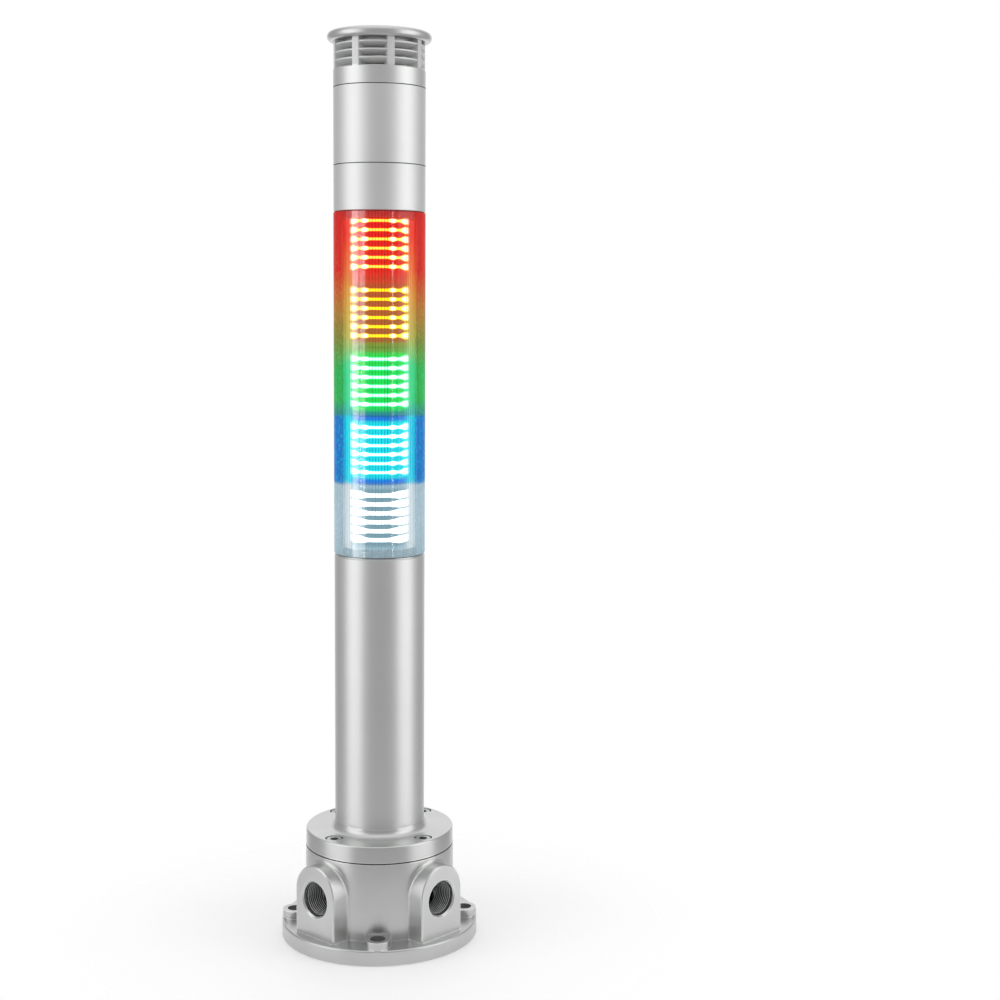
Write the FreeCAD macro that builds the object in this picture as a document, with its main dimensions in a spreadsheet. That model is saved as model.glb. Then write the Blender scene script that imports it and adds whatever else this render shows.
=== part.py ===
import FreeCAD, Part
import Sketcher
import math
import os
import re

# A signal tower 700 mm tall: a cast conduit base with two threaded entries, a bolted cover with
# its neck, a tubular column, a clear fluted lens round a stack of five LED tiers, a collar, and
# a sounder under a louvred head. Millimetres, +Z up, origin at the middle of the base's underside.
# The front is -Y.

SIZES = {
    "flange_width": 18.8,
    "plate_thickness": 12.0,
    "plate_edge_radius": 1.5,
    "floor_thickness": 7.0,
    "housing_diameter": 116.4,
    "housing_height": 60.2,
    "housing_wall": 9.2,
    "root_fillet": 2.5,
    "join_overlap": 1.0,
    "lug_inset": 0.2,
    "lug_radius": 9.8,
    "lug_height": 6.0,
    "lug_hole": 12.0,
    "entry_reach": 10.8,
    "entry_width": 43.0,
    "entry_arch_height": 46.5,
    "entry_hole_height": 42.0,
    "entry_hole": 26.44,
    "entry_chamfer": 1.2,
    "entry_edge": 0.8,
    "entry_angle": 45.0,
    "screw_inset": 9.7,
    "pillar_radius": 8.0,
    "pillar_floor": 1.0,
    "gasket_thickness": 0.8,
    "gasket_inset": 1.0,
    "cover_step": 0.4,
    "cover_thickness": 13.0,
    "cover_edge_radius": 1.3,
    "cover_web": 10.0,
    "neck_fillet": 6.0,
    "spigot_length": 20.0,
    "spigot_wall": 4.4,
    "screw_diameter": 8.0,
    "screw_length": 20.0,
    "screw_head": 13.0,
    "screw_head_height": 8.0,
    "screw_key": 6.0,
    "screw_key_depth": 4.0,
    "head_gap": 0.5,
    "head_sink": 0.6,
    "tap_spare": 0.2,
    "screw_clearance": 0.5,
    "thread_clearance": 0.05,
    "column_diameter": 70.0,
    "column_length": 210.5,
    "tube_wall": 3.0,
    "tube_clearance": 0.1,
    "seam_chamfer": 0.4,
    "coupling_flange": 1.0,
    "coupling_recess": 0.5,
    "coupling_depth": 18.0,
    "coupling_rise": 6.0,
    "coupling_wall": 3.8,
    "coupling_floor": 4.0,
    "core_seat": 3.2,
    "lens_step": 0.25,
    "lens_wall": 3.0,
    "lens_seal": 0.6,
    "flute_depth": 0.55,
    "flute_land": 0.15,
    "flute_count": 90.0,
    "tier_pitch": 52.0,
    "tier_disc": 1.6,
    "sleeve_gap": 1.8,
    "sleeve_wall": 1.2,
    "sleeve_lip": 0.8,
    "core_flat": 34.0,
    "core_wall": 4.0,
    "core_clearance": 0.2,
    "board_thickness": 1.0,
    "board_width": 16.0,
    "board_gap": 0.4,
    "chip_width": 5.0,
    "chip_thickness": 1.6,
    "chip_pitch": 6.88,
    "rod_diameter": 6.0,
    "rod_overhang": 1.5,
    "rod_clearance": 0.3,
    "nut_flat": 10.0,
    "nut_height": 5.0,
    "wire_web": 2.2,
    "wire_gap": 1.0,
    "harness_diameter": 6.0,
    "lead_diameter": 3.0,
    "harness_rise": 15.0,
    "collar_height": 35.0,
    "collar_inset": 2.3,
    "collar_web": 4.0,
    "collar_register": 6.0,
    "collar_spigot": 5.0,
    "sounder_height": 58.0,
    "ring_height": 13.3,
    "ring_wall": 8.0,
    "ring_bevel": 0.8,
    "ring_spigot": 6.0,
    "louver_height": 20.2,
    "rib_width": 5.5,
    "rib_hold": 3.1,
    "rib_offset": 15.5,
    "slat_top": 2.5,
    "slat_recess": 0.4,
    "slat_reach": 7.0,
    "slat_drop": 3.3,
    "slat_thickness": 1.1,
    "hub_ring_inner": 22.0,
    "hub_ring_outer": 27.6,
    "hub_ring_height": 2.4,
    "cap_overhang": 4.5,
    "cap_rim": 7.5,
    "cap_rise": 1.3,
    "recess_step": 1.0,
    "cap_skin": 4.2,
    "small_screw": 3.0,
    "small_head": 5.6,
    "small_head_height": 2.2,
    "small_screw_grip": 4.5,
    "sounder_plate": 2.0,
    "plate_screw_inset": 3.0,
    "driver_flange": 46.0,
    "driver_flange_height": 3.0,
    "driver_diameter": 38.0,
    "driver_height": 27.0,
    "driver_mouth": 30.0,
    "driver_mouth_depth": 8.0,
    "diaphragm_diameter": 20.0,
    "diaphragm_thickness": 0.6,
    "standoff_height": 10.0,
    "standoff_diameter": 5.0,
    "standoff_inset": 4.0,
    "sounder_board": 48.0,
    "sounder_board_thickness": 1.6,
    "block_end": 7.0,
    "block_width": 20.0,
    "block_height": 24.0,
    "way_pitch": 6.0,
    "way_hole": 3.4,
    "way_depth": 5.0,
    "way_height": 9.0,
    "clamp_diameter": 3.8,
    "clamp_height": 3.0,
    "clamp_inset": 3.5,
    "block_screw_inset": 3.0,
    "earth_offset": 30.0,
    "earth_diameter": 5.0,
    "earth_head": 9.0,
    "earth_head_height": 3.5,
    "earth_depth": 5.0,
}

# Pieces that repeat a whole number of times.
LUGS = 4
COVER_SCREWS = 4
TIERS = ["clear", "blue", "green", "amber", "red"]
CORE_SIDES = 6
CHIP_ROWS = 6
RIBS = 8
SLATS = 3
CAP_SCREWS = 4
PLATE_SCREWS = 3
TERMINAL_WAYS = 7
FULL_TURN = 360.0

# Where a ring of holes starts: midway between the lugs, between the ribs, or between the screws.
SCREW_TURN = FULL_TURN / LUGS / 2
RIB_GAP_TURN = FULL_TURN / RIBS / 2
DRIVER_TURN = FULL_TURN / PLATE_SCREWS / 2

# The smallest volume that counts as a piece, and how near two lengths lie that count as one.
MINIMUM_VOLUME = 0.1
TOUCHING = 1e-3

# Heights, from the underside of the base to the top of the cap.
HOUSING_TOP = "(plate_thickness + housing_height)"
COVER_BOTTOM = f"({HOUSING_TOP} + gasket_thickness)"
COVER_TOP = f"({COVER_BOTTOM} + cover_thickness)"
NECK_TOP = f"({COVER_TOP} + neck_fillet)"
COLUMN_TOP = f"({NECK_TOP} + column_length)"
COUPLING_TOP = f"({COLUMN_TOP} + coupling_flange)"
LENS_BOTTOM = f"({COUPLING_TOP} + lens_seal)"
CORE_BOTTOM = f"({COUPLING_TOP} + core_seat)"
CORE_TOP = f"({CORE_BOTTOM} + {len(TIERS)} * tier_pitch + tier_disc)"
COLLAR_BOTTOM = f"({CORE_TOP} - collar_inset)"
LENS_TOP = f"({COLLAR_BOTTOM} - lens_seal)"
COLLAR_TOP = f"({COLLAR_BOTTOM} + collar_height)"
SOUNDER_TOP = f"({COLLAR_TOP} + sounder_height)"
RING_TOP = f"({SOUNDER_TOP} + ring_height)"
CAP_BOTTOM = f"({RING_TOP} + louver_height)"
CAP_TOP = f"({CAP_BOTTOM} + cap_rim + cap_rise)"
PLATE_BOTTOM = f"({SOUNDER_TOP} - ring_spigot - sounder_plate)"

# Radii that several pieces share.
HOUSING_RADIUS = "(housing_diameter / 2)"
PLATE_RADIUS = f"({HOUSING_RADIUS} + flange_width)"
LUG_CENTRE = f"({PLATE_RADIUS} - lug_radius - lug_inset)"
LUG_ROOT = f"({HOUSING_RADIUS} - housing_wall / 2)"
ENTRY_FACE = f"({HOUSING_RADIUS} + entry_reach)"
COVER_RADIUS = f"({HOUSING_RADIUS} - cover_step)"
SCREW_CENTRE = f"({HOUSING_RADIUS} - screw_inset)"
TUBE_OUTER = "(column_diameter / 2)"
TUBE_INNER = "(column_diameter / 2 - tube_wall)"
SPIGOT_OUTER = f"({TUBE_INNER} - tube_clearance)"
LENS_OUTER = f"({TUBE_OUTER} + lens_step)"
LENS_INNER = f"({LENS_OUTER} - lens_wall)"
CAP_RADIUS = f"({TUBE_OUTER} + cap_overhang)"
CAVITY = "(housing_diameter / 2 - housing_wall)"
ROD_HOLE = "(rod_diameter / 2 + rod_clearance)"
SEAM_EDGE = f"({TUBE_OUTER} - seam_chamfer)"
CHIP_FACE = "(core_flat / 2 + board_thickness)"
SLEEVE_INNER = f"({CHIP_FACE} + chip_thickness + sleeve_gap)"
SLEEVE_OUTER = f"({SLEEVE_INNER} + sleeve_wall)"
WIRE_HOLE = "(harness_diameter / 2 + wire_gap)"
WIRE_OFFSET = f"({ROD_HOLE} + {WIRE_HOLE} + wire_web)"

# The cover's screws: each head sinks into a counterbore, and its thread into a pillar of the base.
COUNTERBORE_DEPTH = "(screw_head_height + head_sink)"
TAP_DEPTH = f"(screw_length - gasket_thickness - cover_thickness + {COUNTERBORE_DEPTH} + tap_spare)"
PILLAR_HEIGHT = f"({TAP_DEPTH} + pillar_floor)"

# How far from the axis the small screws stand.
CAP_SCREW_CENTRE = "((hub_ring_inner + hub_ring_outer) / 2)"
PLATE_SCREW_CENTRE = f"({TUBE_INNER} - plate_screw_inset)"
DRIVER_SCREW_CENTRE = "((driver_flange + driver_diameter) / 4)"

# The depth of a small tapped hole, a little past the end of its screw.
SCREW_HOLE = "(small_screw_grip + join_overlap)"

# The cap's screws stand midway between two ribs.
CAP_SCREW_ANGLE = f"(rib_offset + {RIB_GAP_TURN})"

doc = FreeCAD.newDocument("signal_tower")
sheet = doc.addObject("Spreadsheet::Sheet", "Sizes")
for row, (size_name, size_value) in enumerate(SIZES.items(), start=1):
    sheet.set(f"A{row}", size_name)
    sheet.set(f"B{row}", str(size_value))
    sheet.setAlias(f"B{row}", size_name)
doc.recompute()

nodes = []


def value(text):
    """The number that an expression of sizes comes to."""
    return float(sheet.evalExpression(str(text)))


def linked(text):
    """The same expression with each size name pointing at the sheet."""
    return re.sub(r"[a-z]+_\w+", lambda found: "Sizes." + found.group(0), str(text))


def bind(target, **expressions):
    """Bind properties to expressions; a double underscore stands for a dot in a property's path."""
    for path, text in expressions.items():
        target.setExpression(path.replace("__", "."), linked(text))


def check(target):
    """Stop if an object failed to build or holds no sound solid."""
    failed = [word for word in target.State if word in ("Invalid", "Error")]
    if failed:
        raise RuntimeError(f"{target.Label} is {failed}")
    if hasattr(target, "Shape") and target.TypeId != "Sketcher::SketchObject":
        if target.Shape.isNull() or not target.Shape.isValid():
            raise RuntimeError(f"{target.Label} has no valid shape")


def keep(target, label):
    """Name a finished piece, so that it is written out as a node."""
    target.Label = label
    nodes.append(target)
    return target


def new_body(label):
    body = doc.addObject("PartDesign::Body", label)
    return keep(body, label)


def origin_feature(body, role):
    return next(item for item in body.Origin.OriginFeatures if item.Role == role)


def new_sketch(body, role, name, height=None, turn=0.0):
    """A sketch on one of the body's own planes, raised or turned about the tower's axis."""
    sketch = body.newObject("Sketcher::SketchObject", name)
    sketch.AttachmentSupport = (origin_feature(body, role), [""])
    sketch.MapMode = "FlatFace"
    axis = FreeCAD.Vector(0, 0, 1) if role == "XY_Plane" else FreeCAD.Vector(0, 1, 0)
    sketch.AttachmentOffset = FreeCAD.Placement(FreeCAD.Vector(), FreeCAD.Rotation(axis, turn))
    if height is not None:
        bind(sketch, AttachmentOffset__Base__z=height)
    return sketch


def hold(sketch, kind, geometry, position, text):
    """Bind one coordinate of a sketch's point, its DistanceX or DistanceY, to an expression."""
    number = value(text)
    if abs(number) < TOUCHING:
        axis = -2 if kind == "DistanceX" else -1
        sketch.addConstraint(Sketcher.Constraint("PointOnObject", geometry, position, axis))
        return
    ends = (-1, 1, geometry, position) if number > 0 else (geometry, position, -1, 1)
    row = sketch.addConstraint(Sketcher.Constraint(kind, *ends, abs(number)))
    sketch.setExpression(f"Constraints[{row}]", linked(text if number > 0 else f"-({text})"))


def fix_point(sketch, geometry, position, across, up):
    """Hold one point of a sketch at two expressions, measured from the origin."""
    hold(sketch, "DistanceX", geometry, position, across)
    hold(sketch, "DistanceY", geometry, position, up)


def draw_line(sketch, start, end):
    number = sketch.addGeometry(Part.LineSegment(start, end), False)
    return number, 1, 2


def draw_arc(sketch, start, end, before, corner):
    """An arc between two points. Its radius is bound, or its centre where it is half a circle."""
    radius, turn = value(corner[2]), corner[3]
    chord = end - start
    left = FreeCAD.Vector(-chord.y, chord.x, 0).normalize()
    reach = math.sqrt(max(radius ** 2 - (chord.Length / 2) ** 2, 0.0))
    centre = (start + end) * 0.5 + left * reach * turn
    first, last = (start, end) if turn > 0 else (end, start)
    angles = [math.atan2(point.y - centre.y, point.x - centre.x) for point in (first, last)]
    circle = Part.Circle(centre, FreeCAD.Vector(0, 0, 1), radius)
    number = sketch.addGeometry(Part.ArcOfCircle(circle, *angles), False)
    if reach > TOUCHING:
        row = sketch.addConstraint(Sketcher.Constraint("Radius", number, radius))
        sketch.setExpression(f"Constraints[{row}]", linked(corner[2]))
    else:
        side = 0 if abs(chord.x) < abs(chord.y) else 1
        middle = f"(({before[side]}) + ({corner[side]})) / 2"
        hold(sketch, ("DistanceX", "DistanceY")[side], number, 3, middle)
    return (number, 1, 2) if turn > 0 else (number, 2, 1)


def draw_loop(sketch, corners):
    """A closed outline. A corner is (across, up), or (across, up, radius, turn) where the edge
    that arrives at it is an arc: turn 1 runs anticlockwise and -1 clockwise."""
    points = [FreeCAD.Vector(value(corner[0]), value(corner[1]), 0) for corner in corners]
    edges = []
    for index, corner in enumerate(corners):
        ends = (points[index - 1], points[index])
        if len(corner) == 2:
            edges.append(draw_line(sketch, *ends))
        else:
            edges.append(draw_arc(sketch, *ends, corners[index - 1], corner))
    for this, following, corner in zip(edges, edges[1:] + edges[:1], corners):
        sketch.addConstraint(
            Sketcher.Constraint("Coincident", this[0], this[2], following[0], following[1])
        )
        fix_point(sketch, this[0], this[2], corner[0], corner[1])


def draw_circle(sketch, across, up, radius):
    centre = FreeCAD.Vector(value(across), value(up), 0)
    circle = Part.Circle(centre, FreeCAD.Vector(0, 0, 1), value(radius))
    number = sketch.addGeometry(circle, False)
    row = sketch.addConstraint(Sketcher.Constraint("Radius", number, value(radius)))
    sketch.setExpression(f"Constraints[{row}]", linked(radius))
    fix_point(sketch, number, 3, across, up)


def revolve(body, sketch, name, cut=False):
    kind = "PartDesign::Groove" if cut else "PartDesign::Revolution"
    feature = body.newObject(kind, name)
    feature.Profile = sketch
    feature.ReferenceAxis = (sketch, ["V_Axis"])
    feature.Angle = FULL_TURN
    doc.recompute()
    check(feature)
    return feature


def extrude(body, sketch, name, length=None, cut=False, reverse=False):
    """A pad or pocket. A cut runs right through where no length is given."""
    before = body.Shape.Volume if cut else 0.0
    feature = body.newObject("PartDesign::Pocket" if cut else "PartDesign::Pad", name)
    feature.Profile = sketch
    feature.Reversed = reverse
    if length is None:
        feature.Type = "ThroughAll"
    else:
        bind(feature, Length=length)
    doc.recompute()
    check(feature)
    if cut and feature.Shape.Volume > before - MINIMUM_VOLUME:
        raise RuntimeError(f"{body.Label}: {name} cuts nothing")
    return feature


def around(body, originals, count, name):
    """Repeat features evenly round the tower's axis."""
    pattern = body.newObject("PartDesign::PolarPattern", name)
    pattern.Originals = originals
    pattern.Axis = (origin_feature(body, "Z_Axis"), [""])
    pattern.Angle = FULL_TURN
    pattern.Occurrences = count
    body.Tip = pattern
    doc.recompute()
    check(pattern)
    return pattern


def soften(body, name, wanted, size, chamfer=False):
    """Round or chamfer the edges of the body's tip that the test `wanted` picks."""
    base = body.Tip
    picked = [f"Edge{n}" for n, edge in enumerate(base.Shape.Edges, start=1) if wanted(edge)]
    if not picked:
        raise RuntimeError(f"{body.Label}: {name} finds no edge")
    feature = body.newObject("PartDesign::Chamfer" if chamfer else "PartDesign::Fillet", name)
    feature.Base = (base, picked)
    if chamfer:
        bind(feature, Size=size)
    else:
        bind(feature, Radius=size)
    doc.recompute()
    check(feature)
    return feature


def turned(label, *outlines):
    """A piece of revolution, from closed outlines of (radius, height) corners."""
    body = new_body(label)
    sketch = new_sketch(body, "XZ_Plane", f"{label}_profile")
    for corners in outlines:
        draw_loop(sketch, corners)
    revolve(body, sketch, f"{label}_turning")
    return body


def ring(label, inner, outer, bottom, top):
    return turned(label, [(inner, bottom), (outer, bottom), (outer, top), (inner, top)])


def grouped(label, shapes):
    """Identical pieces that share one node, each its own solid."""
    feature = doc.addObject("Part::Feature", label)
    feature.Shape = Part.makeCompound(shapes)
    return keep(feature, label)


def turned_copies(shape, count, start=0.0):
    """Copies of a shape set evenly round the tower's axis."""
    copies = []
    for number in range(count):
        copy = shape.copy()
        angle = start + number * FULL_TURN / count
        copy.rotate(FreeCAD.Vector(), FreeCAD.Vector(0, 0, 1), angle)
        copies.append(copy)
    return copies


def is_circle(edge, radius, height=None):
    """True for a full or partial circle of this radius, at this height if one is given."""
    if not hasattr(edge.Curve, "Radius") or abs(edge.Curve.Radius - value(radius)) > TOUCHING:
        return False
    return height is None or abs(edge.Curve.Center.z - value(height)) < TOUCHING


def hexagon(flat):
    """Corners of a hexagon with flats at 0, 60, 120 degrees and so on."""
    half_side = FULL_TURN / CORE_SIDES / 2
    corner = f"({flat}) / 2 / cos({half_side})"
    angles = [half_side * (2 * side + 1) for side in range(CORE_SIDES)]
    return [(f"{corner} * cos({angle})", f"{corner} * sin({angle})") for angle in angles]


def socket_screw(diameter, length, head, head_height, key, key_depth, seat):
    """A socket-head cap screw on the tower's axis, its head standing on `seat`."""
    shank = Part.makeCylinder(value(diameter) / 2, value(length))
    shank.translate(FreeCAD.Vector(0, 0, value(seat) - value(length)))
    cap = Part.makeCylinder(value(head) / 2, value(head_height))
    rounding = value(head_height) / 10
    rim = [edge for edge in cap.Edges if is_circle(edge, f"{head} / 2", head_height)]
    cap = cap.makeChamfer(rounding, rim)
    corner = value(key) / 2 / math.cos(math.pi / CORE_SIDES)
    points = [
        FreeCAD.Vector(
            corner * math.cos(2 * math.pi * side / CORE_SIDES),
            corner * math.sin(2 * math.pi * side / CORE_SIDES),
            value(head_height) - value(key_depth),
        )
        for side in range(CORE_SIDES)
    ]
    socket = Part.Face(Part.makePolygon(points + points[:1]))
    socket = socket.extrude(FreeCAD.Vector(0, 0, value(key_depth)))
    cap = cap.cut(socket)
    cap.translate(FreeCAD.Vector(0, 0, value(seat)))
    return shank.fuse(cap).removeSplitter()


def pan_screw(diameter, length, head, head_height, seat, upward=False):
    """A small pan-head screw on the tower's axis. Its head stands on `seat`, or hangs from it."""
    shank = Part.makeCylinder(value(diameter) / 2, value(length))
    cap = Part.makeCylinder(value(head) / 2, value(head_height))
    cap.translate(FreeCAD.Vector(0, 0, -value(head_height)))
    screw = shank.fuse(cap).removeSplitter()
    if not upward:
        screw.rotate(FreeCAD.Vector(), FreeCAD.Vector(1, 0, 0), FULL_TURN / 2)
    screw.translate(FreeCAD.Vector(0, 0, value(seat)))
    return screw


def make_conduit_base():
    """The casting: round foot plate, four bolt lugs, housing, and two arched entry pads."""
    body = new_body("conduit_base")
    outline = new_sketch(body, "XZ_Plane", "base_outline")
    draw_loop(outline, [
        ("0", "0"),
        (PLATE_RADIUS, "0"),
        (PLATE_RADIUS, "plate_thickness"),
        (HOUSING_RADIUS, "plate_thickness"),
        (HOUSING_RADIUS, HOUSING_TOP),
        ("0", HOUSING_TOP),
    ])
    revolve(body, outline, "base_turning")
    for side, name in ((-1, "left"), (1, "right")):
        pad = entry_sketch(body, side, f"{name}_pad_outline")
        draw_loop(pad, [
            ("-entry_width / 2", "plate_thickness / 2"),
            ("entry_width / 2", "plate_thickness / 2"),
            ("entry_width / 2", "entry_arch_height"),
            ("-entry_width / 2", "entry_arch_height", "entry_width / 2", 1),
        ])
        extrude(body, pad, f"{name}_pad", f"{ENTRY_FACE} - {CAVITY} - join_overlap", reverse=True)
    soften(body, "pad_roots", is_pad_root, "root_fillet")
    soften(body, "pad_edges", is_pad_rim, "entry_edge", chamfer=True)
    lug = new_sketch(body, "XY_Plane", "lug_outline", "plate_thickness - join_overlap")
    draw_loop(lug, [
        ("-lug_radius", f"-{LUG_ROOT}"),
        ("-lug_radius", f"-{LUG_CENTRE}"),
        ("lug_radius", f"-{LUG_CENTRE}", "lug_radius", 1),
        ("lug_radius", f"-{LUG_ROOT}"),
    ])
    lug_pad = extrude(body, lug, "lug", "lug_height + join_overlap")
    around(body, [lug_pad], LUGS, "lugs")
    hole = new_sketch(body, "XY_Plane", "lug_hole_outline")
    draw_circle(hole, "0", f"-{LUG_CENTRE}", "lug_hole / 2")
    bolt_hole = extrude(body, hole, "lug_hole_cut", cut=True, reverse=True)
    around(body, [bolt_hole], LUGS, "lug_holes")
    cavity = new_sketch(body, "XZ_Plane", "cavity_outline")
    draw_loop(cavity, [
        ("0", "floor_thickness"),
        (CAVITY, "floor_thickness"),
        (CAVITY, f"{HOUSING_TOP} + join_overlap"),
        ("0", f"{HOUSING_TOP} + join_overlap"),
    ])
    revolve(body, cavity, "wiring_cavity", cut=True)
    pillar = new_sketch(body, "XY_Plane", "pillar_outline", f"{HOUSING_TOP} - {PILLAR_HEIGHT}", SCREW_TURN)
    draw_circle(pillar, "0", f"-{SCREW_CENTRE}", "pillar_radius")
    pillar_pad = extrude(body, pillar, "pillar", PILLAR_HEIGHT)
    around(body, [pillar_pad], COVER_SCREWS, "pillars")
    tapping = new_sketch(body, "XY_Plane", "tapping_outline", HOUSING_TOP, SCREW_TURN)
    draw_circle(tapping, "0", f"-{SCREW_CENTRE}", "screw_diameter / 2 + thread_clearance")
    tapped = extrude(body, tapping, "tapped_hole", TAP_DEPTH, cut=True)
    around(body, [tapped], COVER_SCREWS, "tapped_holes")
    for side, name in ((-1, "left"), (1, "right")):
        bore = entry_sketch(body, side, f"{name}_bore_outline")
        draw_circle(bore, "0", "entry_hole_height", "entry_hole / 2")
        extrude(body, bore, f"{name}_bore", f"{ENTRY_FACE} / 2", cut=True)
    soften(body, "entry_mouths", is_entry_mouth, "entry_chamfer", chamfer=True)
    earth = new_sketch(body, "XY_Plane", "earth_outline", "floor_thickness")
    draw_circle(earth, "0", "-earth_offset", "earth_diameter / 2 + thread_clearance")
    extrude(body, earth, "earth_hole", "earth_depth", cut=True)
    soften(body, "plate_rim", is_plate_rim, "plate_edge_radius")
    return body


def entry_sketch(body, side, name):
    """A sketch on the outer face of the left or right entry pad."""
    sketch = new_sketch(body, "XZ_Plane", name)
    bind(
        sketch,
        AttachmentOffset__Base__x=f"{side} * {ENTRY_FACE} * sin(entry_angle)",
        AttachmentOffset__Base__z=f"{ENTRY_FACE} * cos(entry_angle)",
        AttachmentOffset__Rotation__Angle=f"{side} * entry_angle",
    )
    return sketch


def pad_reach(point):
    """How far a point lies along the nearer entry pad's own direction."""
    angle = math.radians(value("entry_angle"))
    return abs(point.x) * math.sin(angle) - point.y * math.cos(angle)


def is_pad_root(edge):
    """The line where an entry pad's side runs into the round housing."""
    middle = edge.valueAt((edge.FirstParameter + edge.LastParameter) / 2)
    on_wall = abs(math.hypot(middle.x, middle.y) - value(HOUSING_RADIUS)) < TOUCHING
    between = value("plate_thickness") + TOUCHING < middle.z < value(HOUSING_TOP) - TOUCHING
    near_pad = pad_reach(middle) > value(HOUSING_RADIUS) / 2 and middle.y < 0
    return on_wall and between and near_pad and edge.Length > value("root_fillet")


def is_pad_rim(edge):
    """The outer edge of an entry pad's face, above the foot plate."""
    middle = edge.valueAt((edge.FirstParameter + edge.LastParameter) / 2)
    points = [middle] + [vertex.Point for vertex in edge.Vertexes]
    on_face = all(abs(pad_reach(point) - value(ENTRY_FACE)) < TOUCHING for point in points)
    return on_face and middle.z > value("plate_thickness") + TOUCHING


def is_entry_mouth(edge):
    if not is_circle(edge, "entry_hole / 2"):
        return False
    return abs(pad_reach(edge.Curve.Center) - value(ENTRY_FACE)) < TOUCHING


def is_plate_rim(edge):
    return is_circle(edge, PLATE_RADIUS, "plate_thickness")


def make_cover():
    """The cover: a bolted disc whose neck runs up into the column in one smooth fillet."""
    fillet_foot = f"({TUBE_OUTER} + neck_fillet)"
    spigot_top = f"({NECK_TOP} + spigot_length)"
    spigot_inner = f"({SPIGOT_OUTER} - spigot_wall)"
    body = turned("cover_flange", [
        (ROD_HOLE, COVER_BOTTOM),
        (COVER_RADIUS, COVER_BOTTOM),
        (COVER_RADIUS, f"{COVER_TOP} - cover_edge_radius"),
        (f"{COVER_RADIUS} - cover_edge_radius", COVER_TOP, "cover_edge_radius", 1),
        (fillet_foot, COVER_TOP),
        (TUBE_OUTER, NECK_TOP, "neck_fillet", -1),
        (SPIGOT_OUTER, NECK_TOP),
        (SPIGOT_OUTER, spigot_top),
        (spigot_inner, spigot_top),
        (spigot_inner, f"{COVER_BOTTOM} + cover_web"),
        (ROD_HOLE, f"{COVER_BOTTOM} + cover_web"),
    ])
    seat = new_sketch(body, "XY_Plane", "counterbore_outline", COVER_TOP, SCREW_TURN)
    draw_circle(seat, "0", f"-{SCREW_CENTRE}", "screw_head / 2 + head_gap")
    counterbore = extrude(body, seat, "counterbore_cut", COUNTERBORE_DEPTH, cut=True)
    around(body, [counterbore], COVER_SCREWS, "counterbores")
    passage = new_sketch(body, "XY_Plane", "clearance_outline", COVER_TOP, SCREW_TURN)
    draw_circle(passage, "0", f"-{SCREW_CENTRE}", "screw_diameter / 2 + screw_clearance")
    clearance = extrude(body, passage, "clearance_cut", cut=True)
    around(body, [clearance], COVER_SCREWS, "clearances")
    cut_wire_hole(body, f"{COVER_BOTTOM} + cover_web")
    return body


def cut_wire_hole(body, height):
    """The hole behind the tie rod through which the wires rise."""
    outline = new_sketch(body, "XY_Plane", f"{body.Label}_wire_outline", height)
    draw_circle(outline, "0", WIRE_OFFSET, WIRE_HOLE)
    extrude(body, outline, f"{body.Label}_wire_hole", cut=True)


def make_gasket():
    body = ring("cover_gasket", CAVITY, f"{COVER_RADIUS} - gasket_inset", HOUSING_TOP, COVER_BOTTOM)
    ear = new_sketch(body, "XY_Plane", "ear_outline", HOUSING_TOP, SCREW_TURN)
    draw_circle(ear, "0", f"-{SCREW_CENTRE}", "pillar_radius")
    ear_pad = extrude(body, ear, "ear", "gasket_thickness")
    around(body, [ear_pad], COVER_SCREWS, "ears")
    passage = new_sketch(body, "XY_Plane", "gasket_hole_outline", COVER_BOTTOM, SCREW_TURN)
    draw_circle(passage, "0", f"-{SCREW_CENTRE}", "screw_diameter / 2 + screw_clearance")
    clearance = extrude(body, passage, "gasket_hole", cut=True)
    around(body, [clearance], COVER_SCREWS, "gasket_holes")
    return body


def make_cover_screws():
    screw = socket_screw(
        "screw_diameter", "screw_length", "screw_head", "screw_head_height",
        "screw_key", "screw_key_depth", f"{COVER_TOP} - {COUNTERBORE_DEPTH}",
    )
    screw.translate(FreeCAD.Vector(0, -value(SCREW_CENTRE), 0))
    return grouped("cover_screws", turned_copies(screw, COVER_SCREWS, SCREW_TURN))


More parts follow.
